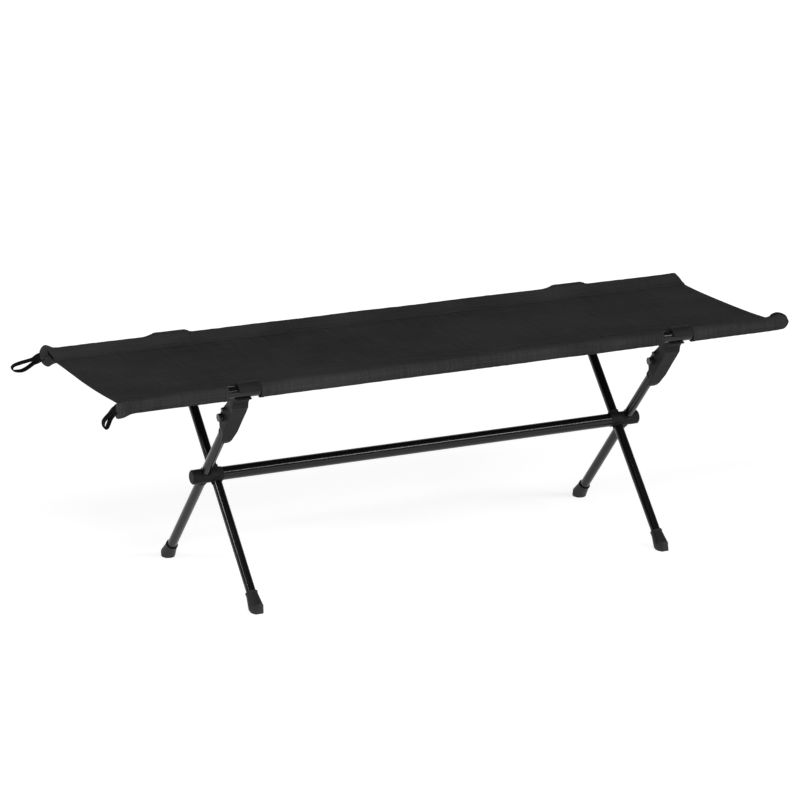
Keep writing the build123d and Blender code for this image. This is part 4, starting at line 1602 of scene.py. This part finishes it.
        # Dark webbing along the top of the near sleeve's closed end is painted shade. It stands for the shadow in the
        # fold there, not a sewn binding.
        edge = tuple((-out, up - self.SHADE_RIDGE_SINK) for out, up in NEAR_POUCH.rise[1:-1])
        origin = (self.layout.right[Side.NEAR], -self.layout.pole_y, self.layout.pole_z)
        sizes = {"width": 7 * MM, "thickness": 6 * MM, "sway": 0.0, "taper": 9 * MM}
        shade_ridge = Tape("near_end_shade_ridge", origin, 1, edge[::-1], **sizes).build(self.webbing)
        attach(shade_ridge, Body.RAIL.value)
        log.info("made %s", shade_ridge.name)

    @staticmethod
    def finish(piece: Piece, slot: Slot, node: str) -> None:
        """Hide the frame's node that a piece stands for, and log the piece.

        Args:
            piece: the piece.
            slot: its slot; not used.
            node: name of the node.
        """
        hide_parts(node)
        log.info("made %s for %s, %d faces", piece.name, node, len(piece.data.polygons))


class RigidFrame:
    """The tubes, mouldings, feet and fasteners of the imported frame, which only need their finishes."""

    SPLAY = 42.6

    def __init__(self, frame: dict) -> None:
        """Prepare the finishes.
        """
        self.nodes = frame["nodes"]
        self.slots = {part["node"]: part["material_slot"] for part in frame["record"]["subparts"]}
        finishes = {
            Slot.TUBE: TubeFinish("long_tube_coat"),
            Slot.MOULDING: MouldingFinish(),
            Slot.RUBBER: RubberFinish(),
            Slot.STEEL: SteelFinish(),
            Slot.ELASTIC: ThreadFinish("elastic_braid"),
        }
        self.materials = {slot.value: finish.material() for slot, finish in finishes.items()}
        self.legs = {
            side.label: TubeFinish(f"{side.label}_leg_coat", turn=side.value * self.SPLAY).material() for side in Side
        }

    def dress(self) -> None:
        """Give every node that shows its finish."""
        for name, node in self.nodes.items():
            if node.hide_render:
                continue
            is_leg = "_leg_" in name and "foot" not in name
            material = self.legs[name.split("_")[0]] if is_leg else self.materials[self.slots[name]]
            node.data.materials.clear()
            node.data.materials.append(material)
            log.info("dressed %s", name)


@dataclass(frozen=True)
class Lamp:
    """A soft box that faces the middle of the object.

    Attributes:
        name: name of the lamp.
        place: where it stands.
        size: its width and height.
        power: its power, in watts.
        reflected: whether it shows in glossy surfaces.
    """

    AIM = Vector((0, 0, 0.25))

    name: str
    place: tuple[float, float, float]
    size: tuple[float, float]
    power: float
    reflected: bool = True

    def build(self) -> None:
        """Make the lamp."""
        data = bpy.data.lights.new(self.name, "AREA")
        data.shape = "RECTANGLE"
        data.size, data.size_y = self.size
        data.energy = self.power
        lamp = add_object(data)
        lamp.visible_glossy = self.reflected
        lamp.location = self.place
        lamp.rotation_mode = "QUATERNION"
        lamp.rotation_quaternion = (self.AIM - Vector(self.place)).to_track_quat("-Z", "Y")


@dataclass
class Studio:
    """Plain pale floor, soft lamps and the camera.

    Attributes:
        camera_place: place of the camera.
        heading: turn of the view from +Y towards +X, in degrees.
        pitch: how far the view looks down, in degrees.
        roll: lean of the view, in degrees.
        lens: focal length on the sensor's width, in millimetres.
        sensor: width of the sensor, in millimetres.
        floor_size: width of the floor.
        floor_colour: grey of the floor.
        brightening: distances from the object at which the floor starts to brighten and is white.
        near_glow: share of white that the floor shows near the object.
        horizon: height of the horizon in the surroundings.
        room: height at which the room is darkest, and strength of its light at the horizon and overhead.
        backdrop: the same of the backdrop that is seen.
        lamps: the soft boxes.
    """

    camera_place: tuple[float, float, float] = (-2.5931, -5.4091, 1.9427)
    heading: float = 25.30
    pitch: float = 15.64
    roll: float = -0.246
    lens: float = 169.7
    sensor: float = 36.0
    floor_size: float = 60.0
    floor_colour: float = 0.62
    brightening: tuple[float, float] = (0.9, 2.6)
    near_glow: float = 0.76
    horizon: float = 0.04
    room: tuple[float, float, float] = (0.6, 0.4, 0.12)
    backdrop: tuple[float, float, float] = (0.22, 1.0, 0.1)
    lamps: tuple[Lamp, ...] = (
        Lamp("front_left_box", (-1.5, -2.6, 3.2), (1.2, 0.7), 30),
        Lamp("front_right_box", (1.66, -2.95, 2.3), (1.2, 0.4), 28),
        Lamp("left_strip", (-3.3, -0.15, 2.2), (0.3, 0.6), 20),
        Lamp("right_box", (3.4, -2.2, 1.3), (0.8, 1.4), 26),
        Lamp("low_fill", (-0.7, -2.2, 0.5), (3.0, 0.3), 27, reflected=False),
        Lamp("back_fill", (0.8, 3.0, 1.7), (2.4, 1.2), 5),
    )

    def camera(self) -> None:
        """Make the camera at the photograph's viewing angle."""
        data = bpy.data.cameras.new("camera")
        data.lens, data.sensor_width = self.lens, self.sensor
        data.clip_end = 100.0
        camera = add_object(data)
        yaw, down, lean = (math.radians(angle) for angle in (self.heading, self.pitch, self.roll))
        ahead = Vector((math.sin(yaw) * math.cos(down), math.cos(yaw) * math.cos(down), -math.sin(down)))
        right = Vector((math.cos(yaw), -math.sin(yaw), 0))
        up = right.cross(ahead)
        leaned = math.cos(lean) * right + math.sin(lean) * up
        upright = math.cos(lean) * up - math.sin(lean) * right
        turn = Matrix((leaned, upright, -ahead)).transposed()
        camera.matrix_world = Matrix.Translation(self.camera_place) @ turn.to_4x4()
        bpy.context.scene.camera = camera

    def floor(self) -> None:
        """Make the floor: matt and pale, brighter away from the object so that it ends in white."""
        half = self.floor_size / 2
        corners = [(-half, -half, 0), (half, -half, 0), (half, half, 0), (-half, half, 0)]
        mesh = bpy.data.meshes.new("floor")
        mesh.from_pydata(corners, [], [(0, 1, 2, 3)])
        paint = Paint("pale_floor")
        distance = paint.vector("LENGTH", paint.place())["Value"]
        far = paint.remap(distance, self.near_glow, 1.0, self.brightening)
        material = paint.finish(
            Base_Color=(*[self.floor_colour] * 3, 1.0),
            Roughness=0.9,
            Specular_IOR_Level=0.0,
            Emission_Color=(1.0, 1.0, 1.0, 1.0),
            Emission_Strength=paint.math("MULTIPLY", far, paint.seen()),
        )
        link(mesh, material)

    def world(self) -> None:
        """Make the surroundings: a pale band low down and a darker room overhead."""
        world = bpy.data.worlds.new("studio")
        bpy.context.scene.world = world
        world.use_nodes = True
        graph = Graph(world.node_tree)
        height = graph.split(graph.add("ShaderNodeTexCoord").outputs["Generated"])["Z"]
        mixed = {"Fac": graph.seen()}
        for index, (top, low, high) in enumerate((self.room, self.backdrop), start=1):
            strength = graph.remap(height, low, high, (self.horizon, top))
            shade = graph.add("ShaderNodeBackground", {"Color": (1, 1, 1, 1), "Strength": strength})
            mixed[index] = shade.outputs[0]
        mix = graph.add("ShaderNodeMixShader", mixed)
        graph.add("ShaderNodeOutputWorld", {"Surface": mix.outputs[0]})

    def build(self) -> None:
        """Make the whole stage."""
        self.camera()
        self.floor()
        self.world()
        for lamp in self.lamps:
            lamp.build()
        bpy.context.scene.view_settings.view_transform = "Standard"


def main() -> None:
    """Load the frame, build the sling, dress the rigid pieces and set the stage."""
    logging.basicConfig(level=logging.INFO, format="%(name)s: %(message)s")
    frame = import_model()
    layout = Layout.read()
    Sling(layout).build()
    RigidFrame(frame).dress()
    Studio().build()


if __name__ == "__main__":
    main()
